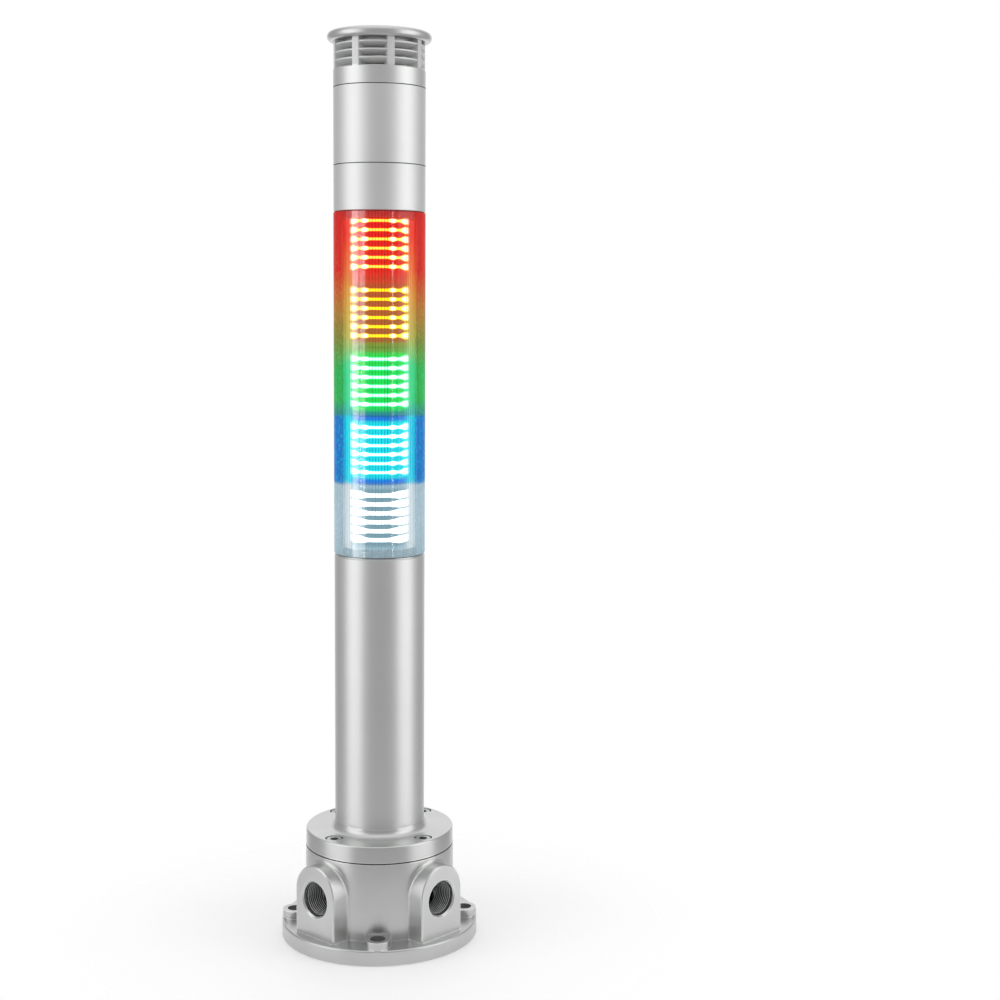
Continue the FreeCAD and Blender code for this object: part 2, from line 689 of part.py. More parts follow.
def make_terminal_block():
    """The block that the incoming conduit wires end on, with a row of ways on each long side."""
    block_length = f"({TERMINAL_WAYS - 1} * way_pitch + 2 * block_end)"
    block = doc.addObject("Part::Box", "block_blank")
    bind(
        block,
        Length=block_length,
        Width="block_width",
        Height="block_height",
        Placement__Base__x=f"-{block_length} / 2",
        Placement__Base__y=f"{WIRE_OFFSET} - block_width / 2",
        Placement__Base__z="floor_thickness",
    )
    doc.recompute()
    check(block)
    block_top = "(floor_thickness + block_height)"
    cuts = []
    screws = []
    for way in range(TERMINAL_WAYS):
        across = value("way_pitch") * (way - (TERMINAL_WAYS - 1) / 2)
        for side in (-1, 1):
            hole = Part.makeBox(value("way_hole"), value("way_depth"), value("way_hole"))
            face = value(f"{WIRE_OFFSET} + {side} * block_width / 2")
            hole_start = face if side < 0 else face - value("way_depth")
            hole.translate(FreeCAD.Vector(
                across - value("way_hole / 2"), hole_start, value("floor_thickness + way_height")
            ))
            cuts.append(hole)
            place = FreeCAD.Vector(
                across,
                value(f"{WIRE_OFFSET} + {side} * (block_width / 2 - clamp_inset)"),
                value(f"{block_top} - clamp_height"),
            )
            well = Part.makeCylinder(value("clamp_diameter / 2 + thread_clearance"), value("clamp_height"))
            well.translate(place)
            cuts.append(well)
            screw = Part.makeCylinder(value("clamp_diameter / 2"), value("clamp_height / 2"))
            screw.translate(place)
            screws.append(screw)
    mounting = []
    for side in (-1, 1):
        across = side * value(f"{block_length} / 2 - block_screw_inset")
        place = FreeCAD.Vector(across, value(WIRE_OFFSET), 0)
        screw = pan_screw("small_screw", "block_height", "small_head", "small_head_height", block_top)
        screw.translate(place)
        mounting.append(screw)
        hole = Part.makeCylinder(value("small_screw / 2 + thread_clearance"), value("block_height"))
        hole.translate(place + FreeCAD.Vector(0, 0, value("floor_thickness")))
        cuts.append(hole)
    drilled = doc.addObject("Part::Feature", "terminal_block")
    drilled.Shape = block.Shape.cut(cuts)
    keep(drilled, "terminal_block")
    grouped("terminal_clamps", screws)
    grouped("block_screws", mounting)


def make_earth_screw():
    screw = pan_screw(
        "earth_diameter", "earth_depth", "earth_head", "earth_head_height", "floor_thickness"
    )
    screw.translate(FreeCAD.Vector(0, -value("earth_offset"), 0))
    grouped("earth_screw", [screw])


def make_tie_rod():
    """The rod that clamps the column, lens and collar between the cover and the collar's web."""
    bottom = f"({COVER_BOTTOM} - nut_height - rod_overhang)"
    top = f"({CORE_TOP} + collar_web + nut_height + rod_overhang)"
    rod = doc.addObject("Part::Cylinder", "tie_rod")
    bind(rod, Radius="rod_diameter / 2", Height=f"{top} - {bottom}", Placement__Base__z=bottom)
    keep(rod, "tie_rod")
    places = (("lower_nut", f"{COVER_BOTTOM} - nut_height"), ("upper_nut", f"{CORE_TOP} + collar_web"))
    for label, height in places:
        body = new_body(label)
        outline = new_sketch(body, "XY_Plane", f"{label}_outline", height)
        draw_loop(outline, hexagon("nut_flat"))
        draw_circle(outline, "0", "0", "rod_diameter / 2 + thread_clearance")
        extrude(body, outline, f"{label}_pad", "nut_height")


def make_column():
    return turned("column_tube", [
        (TUBE_INNER, NECK_TOP),
        (TUBE_OUTER, NECK_TOP),
        (TUBE_OUTER, f"{COLUMN_TOP} - seam_chamfer"),
        (SEAM_EDGE, COLUMN_TOP),
        (TUBE_INNER, COLUMN_TOP),
    ])


def make_coupling():
    """The turned coupling between column and lens, whose floor carries the LED core."""
    inner = f"({SPIGOT_OUTER} - coupling_wall)"
    bottom = f"({COLUMN_TOP} - coupling_depth)"
    top = f"({COUPLING_TOP} + coupling_rise)"
    body = turned("lens_coupling", [
        (ROD_HOLE, f"{CORE_BOTTOM} - coupling_floor"),
        (inner, f"{CORE_BOTTOM} - coupling_floor"),
        (inner, bottom),
        (SPIGOT_OUTER, bottom),
        (SPIGOT_OUTER, COLUMN_TOP),
        (f"{SEAM_EDGE} - coupling_recess", COLUMN_TOP),
        (f"{SEAM_EDGE} - coupling_recess", COUPLING_TOP),
        (SPIGOT_OUTER, COUPLING_TOP),
        (SPIGOT_OUTER, top),
        (inner, top),
        (inner, CORE_BOTTOM),
        (ROD_HOLE, CORE_BOTTOM),
    ])
    cut_wire_hole(body, CORE_BOTTOM)
    return body


def make_lens():
    """The clear outer tube, with upright flutes all round its inside."""
    edge = f"({LENS_OUTER} - seam_chamfer)"
    body = turned("lens_tube", [
        (LENS_INNER, LENS_BOTTOM),
        (edge, LENS_BOTTOM),
        (LENS_OUTER, f"{LENS_BOTTOM} + seam_chamfer"),
        (LENS_OUTER, f"{LENS_TOP} - seam_chamfer"),
        (edge, LENS_TOP),
        (LENS_INNER, LENS_TOP),
    ])
    flute = new_sketch(body, "XY_Plane", "flute_outline", LENS_TOP)
    half_width = f"((2 * pi * {LENS_INNER} / flute_count - flute_land) / 2)"
    root = f"(-({LENS_INNER} - flute_depth))"
    radius = f"({half_width} ^ 2 + flute_depth ^ 2) / (2 * flute_depth)"
    wall = f"(-sqrt({LENS_INNER} ^ 2 - {half_width} ^ 2))"
    draw_loop(flute, [
        (f"-{half_width}", root),
        (f"-{half_width}", wall),
        (half_width, wall, radius, 1),
        (half_width, root),
    ])
    groove = extrude(body, flute, "flute", cut=True)
    around(body, [groove], int(value("flute_count")), "flutes")
    return body


def make_lens_seals():
    outer = f"({SEAM_EDGE} - coupling_recess)"
    inner = f"({LENS_INNER} + flute_depth)"
    ring("lower_lens_seal", inner, outer, COUPLING_TOP, LENS_BOTTOM)
    ring("upper_lens_seal", inner, outer, LENS_TOP, COLLAR_BOTTOM)


def make_core():
    """The six-sided tube up the middle of the lens, which carries the LED boards."""
    body = new_body("led_core")
    outline = new_sketch(body, "XY_Plane", "core_outline", CORE_BOTTOM)
    draw_loop(outline, hexagon("core_flat"))
    draw_circle(outline, "0", "0", "core_flat / 2 - core_wall")
    extrude(body, outline, "core_extrusion", f"{CORE_TOP} - {CORE_BOTTOM}")
    return body


def make_tier_discs():
    """The discs between the tiers, with the core passing through each."""
    for number in range(len(TIERS) + 1):
        label = f"tier_disc_{number + 1}"
        body = new_body(label)
        outline = new_sketch(body, "XY_Plane", f"{label}_outline", f"{CORE_BOTTOM} + {number} * tier_pitch")
        draw_loop(outline, hexagon("core_flat + 2 * core_clearance"))
        draw_circle(outline, "0", "0", f"{SLEEVE_OUTER} + sleeve_lip")
        extrude(body, outline, f"{label}_pad", "tier_disc")


def make_tier(number, colour):
    """One tier: six boards, their LEDs and the clear sleeve round them."""
    floor = f"({CORE_BOTTOM} + {number} * tier_pitch + tier_disc)"
    roof = f"({CORE_BOTTOM} + {number + 1} * tier_pitch)"
    strip = Part.makeBox(
        value("board_thickness"), value("board_width"), value(f"{roof} - {floor} - board_gap")
    )
    strip.translate(FreeCAD.Vector(
        value("core_flat / 2"), -value("board_width / 2"), value(f"{floor} + board_gap / 2")
    ))
    grouped(f"led_boards_{colour}", turned_copies(strip, CORE_SIDES))
    middle = value(f"({floor} + {roof}) / 2")
    chips = []
    for row in range(CHIP_ROWS):
        chip = Part.makeBox(value("chip_thickness"), value("chip_width"), value("chip_width"))
        height = middle + value("chip_pitch") * (row - (CHIP_ROWS - 1) / 2)
        chip.translate(FreeCAD.Vector(
            value(CHIP_FACE), -value("chip_width / 2"), height - value("chip_width / 2")
        ))
        chips.extend(turned_copies(chip, CORE_SIDES))
    grouped(f"leds_{colour}", chips)
    ring(f"tier_sleeve_{colour}", SLEEVE_INNER, SLEEVE_OUTER, floor, roof)


def make_wires():
    """The harness from the terminal block into the core, and the lead from there to the sounder."""
    harness_top = f"({CORE_BOTTOM} + harness_rise)"
    block_top = "(floor_thickness + block_height)"
    board_bottom = f"({PLATE_BOTTOM} - standoff_height - sounder_board_thickness)"
    runs = (
        ("wire_harness", "harness_diameter", block_top, harness_top),
        ("sounder_lead", "lead_diameter", harness_top, board_bottom),
    )
    for label, diameter, bottom, top in runs:
        wire = doc.addObject("Part::Cylinder", label)
        bind(
            wire,
            Radius=f"{diameter} / 2",
            Height=f"{top} - {bottom}",
            Placement__Base__y=WIRE_OFFSET,
            Placement__Base__z=bottom,
        )
        keep(wire, label)


def make_collar():
    """The collar over the lens. Its web holds the core down and takes the tie rod's upper nut."""
    inner = f"({SPIGOT_OUTER} - coupling_wall)"
    lower = f"({COLLAR_BOTTOM} - collar_spigot)"
    upper = f"({COLLAR_TOP} + collar_register)"
    body = turned("upper_collar", [
        (ROD_HOLE, CORE_TOP),
        (inner, CORE_TOP),
        (inner, lower),
        (SPIGOT_OUTER, lower),
        (SPIGOT_OUTER, COLLAR_BOTTOM),
        (SEAM_EDGE, COLLAR_BOTTOM),
        (TUBE_OUTER, f"{COLLAR_BOTTOM} + seam_chamfer"),
        (TUBE_OUTER, f"{COLLAR_TOP} - seam_chamfer"),
        (SEAM_EDGE, COLLAR_TOP),
        (SPIGOT_OUTER, COLLAR_TOP),
        (SPIGOT_OUTER, upper),
        (inner, upper),
        (inner, f"{CORE_TOP} + collar_web"),
        (ROD_HOLE, f"{CORE_TOP} + collar_web"),
    ])
    cut_wire_hole(body, f"{CORE_TOP} + collar_web")
    return body


def make_sounder_tube():
    return turned("sounder_tube", [
        (TUBE_INNER, COLLAR_TOP),
        (SEAM_EDGE, COLLAR_TOP),
        (TUBE_OUTER, f"{COLLAR_TOP} + seam_chamfer"),
        (TUBE_OUTER, f"{SOUNDER_TOP} - seam_chamfer"),
        (SEAM_EDGE, SOUNDER_TOP),
        (TUBE_INNER, SOUNDER_TOP),
    ])


def make_louver_head():
    """The louvred ring: eight ribs, three sloping slats and a hub ring under the cap."""
    inner = f"({TUBE_OUTER} - ring_wall)"
    hub_bottom = f"({CAP_BOTTOM} - hub_ring_height)"
    body = turned("louver_head", [
        (inner, f"{SOUNDER_TOP} - ring_spigot"),
        (SPIGOT_OUTER, f"{SOUNDER_TOP} - ring_spigot"),
        (SPIGOT_OUTER, SOUNDER_TOP),
        (SEAM_EDGE, SOUNDER_TOP),
        (TUBE_OUTER, f"{SOUNDER_TOP} + seam_chamfer"),
        (TUBE_OUTER, f"{RING_TOP} - ring_bevel"),
        (f"{TUBE_OUTER} - ring_bevel", RING_TOP),
        (inner, RING_TOP),
    ])
    rib = new_sketch(body, "XY_Plane", "rib_outline", f"{RING_TOP} - ring_bevel")
    bind(rib, AttachmentOffset__Rotation__Angle="rib_offset")
    face = f"(-sqrt({TUBE_OUTER} ^ 2 - (rib_width / 2) ^ 2))"
    back = "(-(hub_ring_outer - rib_hold))"
    draw_loop(rib, [
        ("-rib_width / 2", back),
        ("-rib_width / 2", face),
        ("rib_width / 2", face, TUBE_OUTER, 1),
        ("rib_width / 2", back),
    ])
    rib_pad = extrude(body, rib, "rib", "louver_height + ring_bevel")
    around(body, [rib_pad], RIBS, "ribs")
    rings = new_sketch(body, "XZ_Plane", "slat_outlines")
    outer = f"({TUBE_OUTER} - slat_recess)"
    reach = f"({outer} - slat_reach)"
    pitch = f"((louver_height - slat_top) / {SLATS})"
    for number in range(SLATS):
        top = f"({CAP_BOTTOM} - slat_top - {number} * {pitch})"
        draw_loop(rings, [
            (outer, top),
            (reach, f"{top} - slat_drop"),
            (reach, f"{top} - slat_drop - slat_thickness"),
            (outer, f"{top} - slat_thickness"),
        ])
    draw_loop(rings, [
        ("hub_ring_inner", hub_bottom),
        ("hub_ring_outer", hub_bottom),
        ("hub_ring_outer", CAP_BOTTOM),
        ("hub_ring_inner", CAP_BOTTOM),
    ])
    revolve(body, rings, "slats")
    passage = new_sketch(body, "XY_Plane", "cap_screw_outline", CAP_BOTTOM)
    bind(passage, AttachmentOffset__Rotation__Angle=CAP_SCREW_ANGLE)
    draw_circle(passage, "0", f"-{CAP_SCREW_CENTRE}", "small_screw / 2 + tube_clearance")
    hole = extrude(body, passage, "cap_screw_hole", "hub_ring_height", cut=True)
    around(body, [hole], CAP_SCREWS, "cap_screw_holes")
    tapping = new_sketch(body, "XY_Plane", "plate_screw_outline", f"{SOUNDER_TOP} - ring_spigot")
    draw_circle(tapping, "0", f"-{PLATE_SCREW_CENTRE}", "small_screw / 2 + thread_clearance")
    tapped = extrude(body, tapping, "plate_screw_hole", SCREW_HOLE, cut=True, reverse=True)
    around(body, [tapped], PLATE_SCREWS, "plate_screw_holes")
    return body


def make_cap():
    """The mushroom cap: low dome, fat round rim, and a hollow under its middle."""
    rim_radius = "(cap_rim / 2)"
    rim_centre = f"({CAP_RADIUS} - {rim_radius})"
    recess = "(hub_ring_inner - recess_step)"
    dome = f"(({rim_centre} ^ 2 + cap_rise ^ 2) / (2 * cap_rise))"
    body = turned("top_cap", [
        ("0", f"{CAP_TOP} - cap_skin"),
        (recess, f"{CAP_TOP} - cap_skin"),
        (recess, CAP_BOTTOM),
        (rim_centre, CAP_BOTTOM),
        (rim_centre, f"{CAP_BOTTOM} + cap_rim", rim_radius, 1),
        ("0", CAP_TOP, dome, 1),
    ])
    tapping = new_sketch(body, "XY_Plane", "cap_tapping_outline", CAP_BOTTOM)
    bind(tapping, AttachmentOffset__Rotation__Angle=CAP_SCREW_ANGLE)
    draw_circle(tapping, "0", f"-{CAP_SCREW_CENTRE}", "small_screw / 2 + thread_clearance")
    hole = extrude(body, tapping, "cap_tapping", SCREW_HOLE, cut=True, reverse=True)
    around(body, [hole], CAP_SCREWS, "cap_tappings")
    screw = pan_screw(
        "small_screw", "hub_ring_height + small_screw_grip", "small_head", "small_head_height",
        f"{CAP_BOTTOM} - hub_ring_height", upward=True,
    )
    screw.translate(FreeCAD.Vector(0, -value(CAP_SCREW_CENTRE), 0))
    grouped("cap_screws", turned_copies(screw, CAP_SCREWS, value(CAP_SCREW_ANGLE)))


def make_sounder():
    """The sounder: its plate under the louvred ring, the driver on it and the board below it."""
    plate_top = f"({PLATE_BOTTOM} + sounder_plate)"
    plate = turned("sounder_plate", [
        ("0", PLATE_BOTTOM),
        (SPIGOT_OUTER, PLATE_BOTTOM),
        (SPIGOT_OUTER, plate_top),
        ("0", plate_top),
    ])
    circles = (("plate", PLATE_SCREW_CENTRE, 0.0), ("driver", DRIVER_SCREW_CENTRE, DRIVER_TURN))
    for name, centre, turn in circles:
        outline = new_sketch(plate, "XY_Plane", f"{name}_fixing_outline", plate_top, turn)
        draw_circle(outline, "0", f"-{centre}", "small_screw / 2 + thread_clearance")
        hole = extrude(plate, outline, f"{name}_fixing", cut=True)
        around(plate, [hole], PLATE_SCREWS, f"{name}_fixings")
    flange_top = f"({plate_top} + driver_flange_height)"
    driver_top = f"({plate_top} + driver_height)"
    mouth_floor = f"({driver_top} - driver_mouth_depth)"
    driver = turned("sounder_driver", [
        ("0", plate_top),
        ("driver_flange / 2", plate_top),
        ("driver_flange / 2", flange_top),
        ("driver_diameter / 2", flange_top),
        ("driver_diameter / 2", driver_top),
        ("driver_mouth / 2", driver_top),
        ("diaphragm_diameter / 2", mouth_floor),
        ("0", mouth_floor),
    ])
    outline = new_sketch(driver, "XY_Plane", "driver_screw_outline", flange_top, DRIVER_TURN)
    draw_circle(outline, "0", f"-{DRIVER_SCREW_CENTRE}", "small_screw / 2 + thread_clearance")
    hole = extrude(driver, outline, "driver_screw_hole", "driver_flange_height", cut=True)
    around(driver, [hole], PLATE_SCREWS, "driver_screw_holes")
    diaphragm_top = f"{mouth_floor} + diaphragm_thickness"
    ring("sounder_diaphragm", "0", "diaphragm_diameter / 2", mouth_floor, diaphragm_top)
    plate_screw = pan_screw(
        "small_screw", "sounder_plate + small_screw_grip", "small_head", "small_head_height",
        PLATE_BOTTOM, upward=True,
    )
    plate_screw.translate(FreeCAD.Vector(0, -value(PLATE_SCREW_CENTRE), 0))
    grouped("sounder_plate_screws", turned_copies(plate_screw, PLATE_SCREWS))
    board_top = f"({PLATE_BOTTOM} - standoff_height)"
    post = Part.makeCylinder(value("standoff_diameter / 2"), value("standoff_height"))
    post_centre = value("sounder_board / 2 - standoff_inset")
    post.translate(FreeCAD.Vector(0, -post_centre, value(board_top)))
    grouped("board_standoffs", turned_copies(post, PLATE_SCREWS))
    ring("sounder_board", "0", "sounder_board / 2", f"{board_top} - sounder_board_thickness", board_top)


make_conduit_base()
make_gasket()
make_cover()
make_cover_screws()
make_terminal_block()
make_earth_screw()
make_column()
make_coupling()
make_lens()
make_lens_seals()
make_core()
make_tier_discs()
for tier_number, tier_colour in enumerate(TIERS):
    make_tier(tier_number, tier_colour)
make_tie_rod()
make_wires()
make_collar()
make_sounder_tube()
make_louver_head()
make_cap()
make_sounder()

doc.recompute()
for item in doc.Objects:
    check(item)
os.makedirs("parts", exist_ok=True)
for node in nodes:
    solids = node.Shape.Solids
    if not solids or min(solid.Volume for solid in solids) < MINIMUM_VOLUME:
        raise RuntimeError(f"{node.Label} holds no solid")
    node.Shape.exportStep(f"parts/{node.Label}.step")
    print(node.Label, len(solids), round(node.Shape.Volume, 1))
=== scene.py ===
"""Looks of a stack light: signal tube with five lit tiers on a column and a cast conduit base.

Every length is in metres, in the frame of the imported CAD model. The front of the part faces -Y.
"""
import math

import bmesh
import bpy
from mathutils import Euler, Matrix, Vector


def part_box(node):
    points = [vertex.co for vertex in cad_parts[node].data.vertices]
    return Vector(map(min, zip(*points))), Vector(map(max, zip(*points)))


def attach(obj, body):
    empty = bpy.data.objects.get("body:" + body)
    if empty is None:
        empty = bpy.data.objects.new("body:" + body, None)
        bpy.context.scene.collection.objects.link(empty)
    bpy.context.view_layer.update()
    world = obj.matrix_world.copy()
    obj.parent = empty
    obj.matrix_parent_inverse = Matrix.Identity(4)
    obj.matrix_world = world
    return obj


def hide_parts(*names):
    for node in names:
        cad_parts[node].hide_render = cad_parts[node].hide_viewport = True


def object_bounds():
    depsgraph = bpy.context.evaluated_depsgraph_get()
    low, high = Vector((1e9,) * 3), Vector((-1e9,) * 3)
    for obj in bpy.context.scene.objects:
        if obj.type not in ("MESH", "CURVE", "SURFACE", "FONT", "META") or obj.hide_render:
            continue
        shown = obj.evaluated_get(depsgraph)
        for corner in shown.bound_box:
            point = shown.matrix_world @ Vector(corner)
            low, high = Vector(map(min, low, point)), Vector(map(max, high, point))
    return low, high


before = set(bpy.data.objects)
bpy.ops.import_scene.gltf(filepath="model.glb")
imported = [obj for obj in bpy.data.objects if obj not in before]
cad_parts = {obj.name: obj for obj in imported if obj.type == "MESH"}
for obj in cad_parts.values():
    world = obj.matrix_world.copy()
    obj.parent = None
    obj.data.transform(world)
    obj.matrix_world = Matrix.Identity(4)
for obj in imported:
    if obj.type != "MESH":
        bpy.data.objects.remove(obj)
cad_low, cad_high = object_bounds()

MM = 0.001
WHITE = (1.0, 1.0, 1.0, 1.0)
BLACK = (0.0, 0.0, 0.0, 1.0)

# Camera, fitted to the photograph's edges
IMAGE_PIXELS = 1000
SENSOR_WIDTH = 36.0
CAMERA_DISTANCE = 1291 * MM
CAMERA_HEIGHT = 499 * MM
CAMERA_AZIMUTH = math.radians(-1.32)
CAMERA_YAW = math.radians(-4.15)
CAMERA_PITCH = math.radians(-5.88)
CAMERA_ROLL = math.radians(0.41)
CAMERA_SHIFT = -0.027
FOCAL_PIXELS = 1668

# Room: its grey, its white overhead from one upward slant to another, and its white backdrop
WORLD_GREY = 0.41
WORLD_OVERHEAD = 1.0
OVERHEAD_START = 0.5
OVERHEAD_FULL = 0.95
BACKDROP_WHITE = 1.0
BACKDROP_INNER = math.cos(math.radians(24))
BACKDROP_OUTER = math.cos(math.radians(42))

# Floor
FLOOR_RADIUS = 0.30
FLOOR_SOLID_RADIUS = 0.085
FLOOR_LIFT = 0.20
FLOOR_DROP = 0.2 * MM
FLOOR_STEPS = 96
FLOOR_DARK = (0.86, 0.86, 0.86)
FLOOR_LIGHT = (0.88, 0.88, 0.88)

# Softboxes
SOFTBOX_DISTANCE = 1.5
SOFTBOX_LEFT = math.radians(-66)
SOFTBOX_RIGHT = math.radians(71)
SOFTBOX_WIDTH = 1.3
SOFTBOX_HEIGHT = 2.2
SOFTBOX_RISE = 0.12
SOFTBOX_RADIANCE = 1.0

# Narrow strip lights that only the lens sees: azimuth in degrees, width, radiance
STRIPS = ((-61, 0.50, 8.0), (-45, 0.04, 24.0), (-38, 0.04, 28.0), (34, 0.03, 16.0))

# Grain of the finishes, as noise scales
HAIRLINES = 4200
METAL_CLOUDS = 22
ORANGE_PEEL = 1300
ENAMEL_CLOUDS = 30
SPARK_TEXTURE = 1800
PLASTIC_MOTTLE = 60
SCRATCHES = 3000
METAL_STAIN = 150
FLUTE_UNEVENNESS = 420
LENS_SPECKS = 480
MOULDING_WAVES = 700
FLOOR_MOTTLE = 3

# Grain drawn out along one axis: the smaller its factor, the longer the marks
HAIRLINE_STRETCH = (1.0, 1.0, 0.015)
SCRATCH_STRETCH = (1.0, 0.1, 1.0)
FLUTE_STRETCH = (1.0, 1.0, 0.03)
WAVE_STRETCH = (1.0, 1.0, 0.01)

# Noise seldom leaves the range from this value to one minus it
NOISE_MARGIN = 0.3
HAIRLINE_MARGIN = 0.25

# How far a finish's roughness wanders to each side
METAL_SPREAD = 0.03
PLASTIC_SPREAD = 0.06
SCREW_SPREAD = 0.08

# Enamel of the base: its tone at the floor, darkened there as painted shade, the height at which it is
# full, and the painted highlight and extra gloss along its edges
FOOT_SHADE_TONE = 0.87
FOOT_SHADE_HEIGHT = 66 * MM
EDGE_HIGHLIGHT_RADIUS = 1.1 * MM
EDGE_HIGHLIGHT_GLOSS = 0.12
FLAT_FACE = 0.99
OUTER_EDGE = 0.90

# Louvred head: height of its plain ring, and how metallic the enamel above it looks
RING_HEIGHT = 19.3 * MM
RING_FADE = 0.5 * MM
ENAMEL_METALLIC = 0.3

# Tiers, from the floor up
TIERS = ("clear", "blue", "green", "amber", "red")
LED_ROWS = 6
LED_SIZE = 5 * MM
DISC_GLOW = 1.6

# Light on the sleeves: LED columns and glows in degrees, fade of a streak, and end of a row
SIDE_COLUMNS = 90.0
NEXT_COLUMNS = 62.0
WIDE_FADE = 23.0
NARROW_REACH = (11.0, 1.0)
STREAK_FADE = (1.0, 0.3)
ROW_END = (3.5 * MM, 6.5 * MM)
SLEEVE_GLOW = 2.6
UNLIT_TONE = 0.5

# Streaks of each tier, in mm: half height of a bar, and what wide and narrow knots add to it
STREAK_SIZES = {
    "clear": (2.0, 1.75, 0.3),
    "blue": (1.8, 2.2, 0.7),
    "green": (2.1, 2.1, 0.5),
    "amber": (1.7, 2.2, 0.8),
    "red": (1.7, 2.2, 0.8),
}

# Brightness of each tier's bars beside the knots, and half width of the wide knots in degrees
STREAK_LEVELS = {
    "clear": (0.9, 68.0),
    "blue": (0.66, 50.0),
    "green": (0.74, 50.0),
    "amber": (0.58, 50.0),
    "red": (0.58, 50.0),
}

# Lens
LENS_FLUTES = 90
LENS_WALL = 3.0 * MM
FLUTE_DEPTH = 0.55 * MM
STEPS_PER_FLUTE = 6
LENS_EDGE = 0.4 * MM
LENS_SOCKET = 5.2 * MM
SOCKET_FADE = 1.5 * MM

# Look of the lens: its painted glow, specks in the glow's colour, painted shade down the flutes, and
# opacity of its sockets and of its wall by facing
LENS_GLOW = 0.25
SPECK_RANGE = (0.52, 0.72)
SPECK_SHARE = 0.45
FLUTE_SHADE = 0.5
FLUTE_ALPHA = 0.25
SOCKET_ALPHA = 0.5
WALL_FACING = (0.27, 0.48)
WALL_ALPHA = (0.04, 0.84)

# Polished skin of the lens
SKIN_THICKNESS = 0.06 * MM
SKIN_CLEARANCE = 0.04 * MM
SKIN_GLOSS = 0.02
SKIN_ROUGHNESS = (0.10, 0.16)
SKIN_STEPS = 180

# Glow between sleeves and lens: its place in the gap, its ends, and its opacity by facing
HALO_PLACE = 0.6
HALO_FOOT = 3 * MM
HALO_TOP = 1 * MM
HALO_STEPS = 96
HALO_FACING = (0.20, 0.44)
HALO_ALPHA = (0.05, 0.85)
HALO_FADE = (1.0, 0.70)

# Faces that meet at more than this are shaded with a crisp edge
SHARP_ANGLE = math.radians(32)

# Conduit entries
ENTRY_HEIGHT = 42 * MM
ENTRY_TURN = math.radians(45)

# Thread in an entry: sizes, turns of its run-out, and the eased crest as shares of depth and pitch
THREAD_OUTER = 13.24 * MM
THREAD_INNER = 12.10 * MM
THREAD_PITCH = 1.814 * MM
THREAD_START = 48.6 * MM
THREAD_END = 67.3 * MM
THREAD_STEPS = 48
RUN_OUT = 0.25
LEAST_DEPTH = 0.05
CREST_EASE = 0.12
CREST_WIDTH = 0.3

# Seams round the tube
SEAM_GAP = 0.55 * MM
SEAM_LIP = 0.6 * MM
SEAM_PROUD = 0.04 * MM
SEAM_SUNK = 0.16 * MM
LIP_EASE = 0.2
SEAM_STEPS = 160


# Node helpers

def feed(tree, socket, value):
    """Links a socket to another node's output, or sets its constant value."""
    if isinstance(value, bpy.types.NodeSocket):
        tree.links.new(value, socket)
    else:
        socket.default_value = value


def add(tree, kind, inputs=None, **settings):
    """Adds a node with its settings and inputs, and returns it."""
    made = tree.nodes.new(kind)
    for name, value in settings.items():
        setattr(made, name, value)
    for name, value in (inputs or {}).items():
        feed(tree, made.inputs[name], value)
    return made


def calc(tree, operation, *values):
    """One Math node; returns its output."""
    return add(tree, "ShaderNodeMath", dict(enumerate(values)), operation=operation).outputs[0]


def off_by(tree, value, middle):
    """Distance of a value from a middle one."""
    return calc(tree, "ABSOLUTE", calc(tree, "SUBTRACT", value, middle))


def from_axis(tree, x, y):
    """Distance of a point from the upright axis."""
    squares = calc(tree, "ADD", calc(tree, "MULTIPLY", x, x), calc(tree, "MULTIPLY", y, y))
    return calc(tree, "SQRT", squares)


def remap(tree, value, low, high, to_low=0.0, to_high=1.0, smooth=False):
    """Value moved from one range to another, clamped to the new range."""
    inputs = {"Value": value, "From Min": low, "From Max": high, "To Min": to_low, "To Max": to_high}
    kind = "SMOOTHSTEP" if smooth else "LINEAR"
    return add(tree, "ShaderNodeMapRange", inputs, interpolation_type=kind).outputs["Result"]


def varied(tree, grain, low, high, margin=NOISE_MARGIN):
    """Value that wanders between two ends with a noise."""
    return remap(tree, grain, margin, 1 - margin, low, high)


def around(tree, grain, middle, spread, margin=NOISE_MARGIN):
    """Value that wanders to both sides of a middle one with a noise."""
    return varied(tree, grain, middle - spread, middle + spread, margin)


def ramp(tree, value, stops):
    """Colour read from a ramp of (position, (r, g, b)) stops."""
    made = add(tree, "ShaderNodeValToRGB", {"Fac": value})
    elements = made.color_ramp.elements
    while len(elements) < len(stops):
        elements.new(1.0)
    for element, (position, colour) in zip(elements, stops):
        element.position = position
        element.color = opaque(colour)
    return made.outputs["Color"]


def mix_colour(tree, factor, first, second):
    """Two colours mixed by a factor; sockets 6, 7 and 2 are the node's colour ones."""
    made = add(tree, "ShaderNodeMix", data_type="RGBA")
    feed(tree, made.inputs["Factor"], factor)
    feed(tree, made.inputs[6], first)
    feed(tree, made.inputs[7], second)
    return made.outputs[2]


def toned(tree, colour, tone):
    """Colour made lighter or darker by a factor."""
    inputs = {0: colour, "Scale": tone}
    return add(tree, "ShaderNodeVectorMath", inputs, operation="SCALE").outputs[0]


def place(tree):
    """Position on the part in metres, and its x, y and z."""
    position = add(tree, "ShaderNodeTexCoord").outputs["Object"]
    split = add(tree, "ShaderNodeSeparateXYZ", {0: position})
    return position, split.outputs[0], split.outputs[1], split.outputs[2]


def stretched(tree, position, scale):
    """Position scaled unevenly, for grain that runs one way."""
    return add(tree, "ShaderNodeMapping", {"Vector": position, "Scale": scale}).outputs["Vector"]


def noise(tree, position, scale, detail):
    """Noise value from 0 to 1."""
    inputs = {"Vector": position, "Scale": scale, "Detail": detail, "Roughness": 0.55}
    return add(tree, "ShaderNodeTexNoise", inputs).outputs["Fac"]


def bump(tree, height, distance, strength):
    """Normal from a height from 0 to 1, whose full step is distance metres."""
    inputs = {"Height": height, "Distance": distance, "Strength": strength}
    return add(tree, "ShaderNodeBump", inputs).outputs["Normal"]


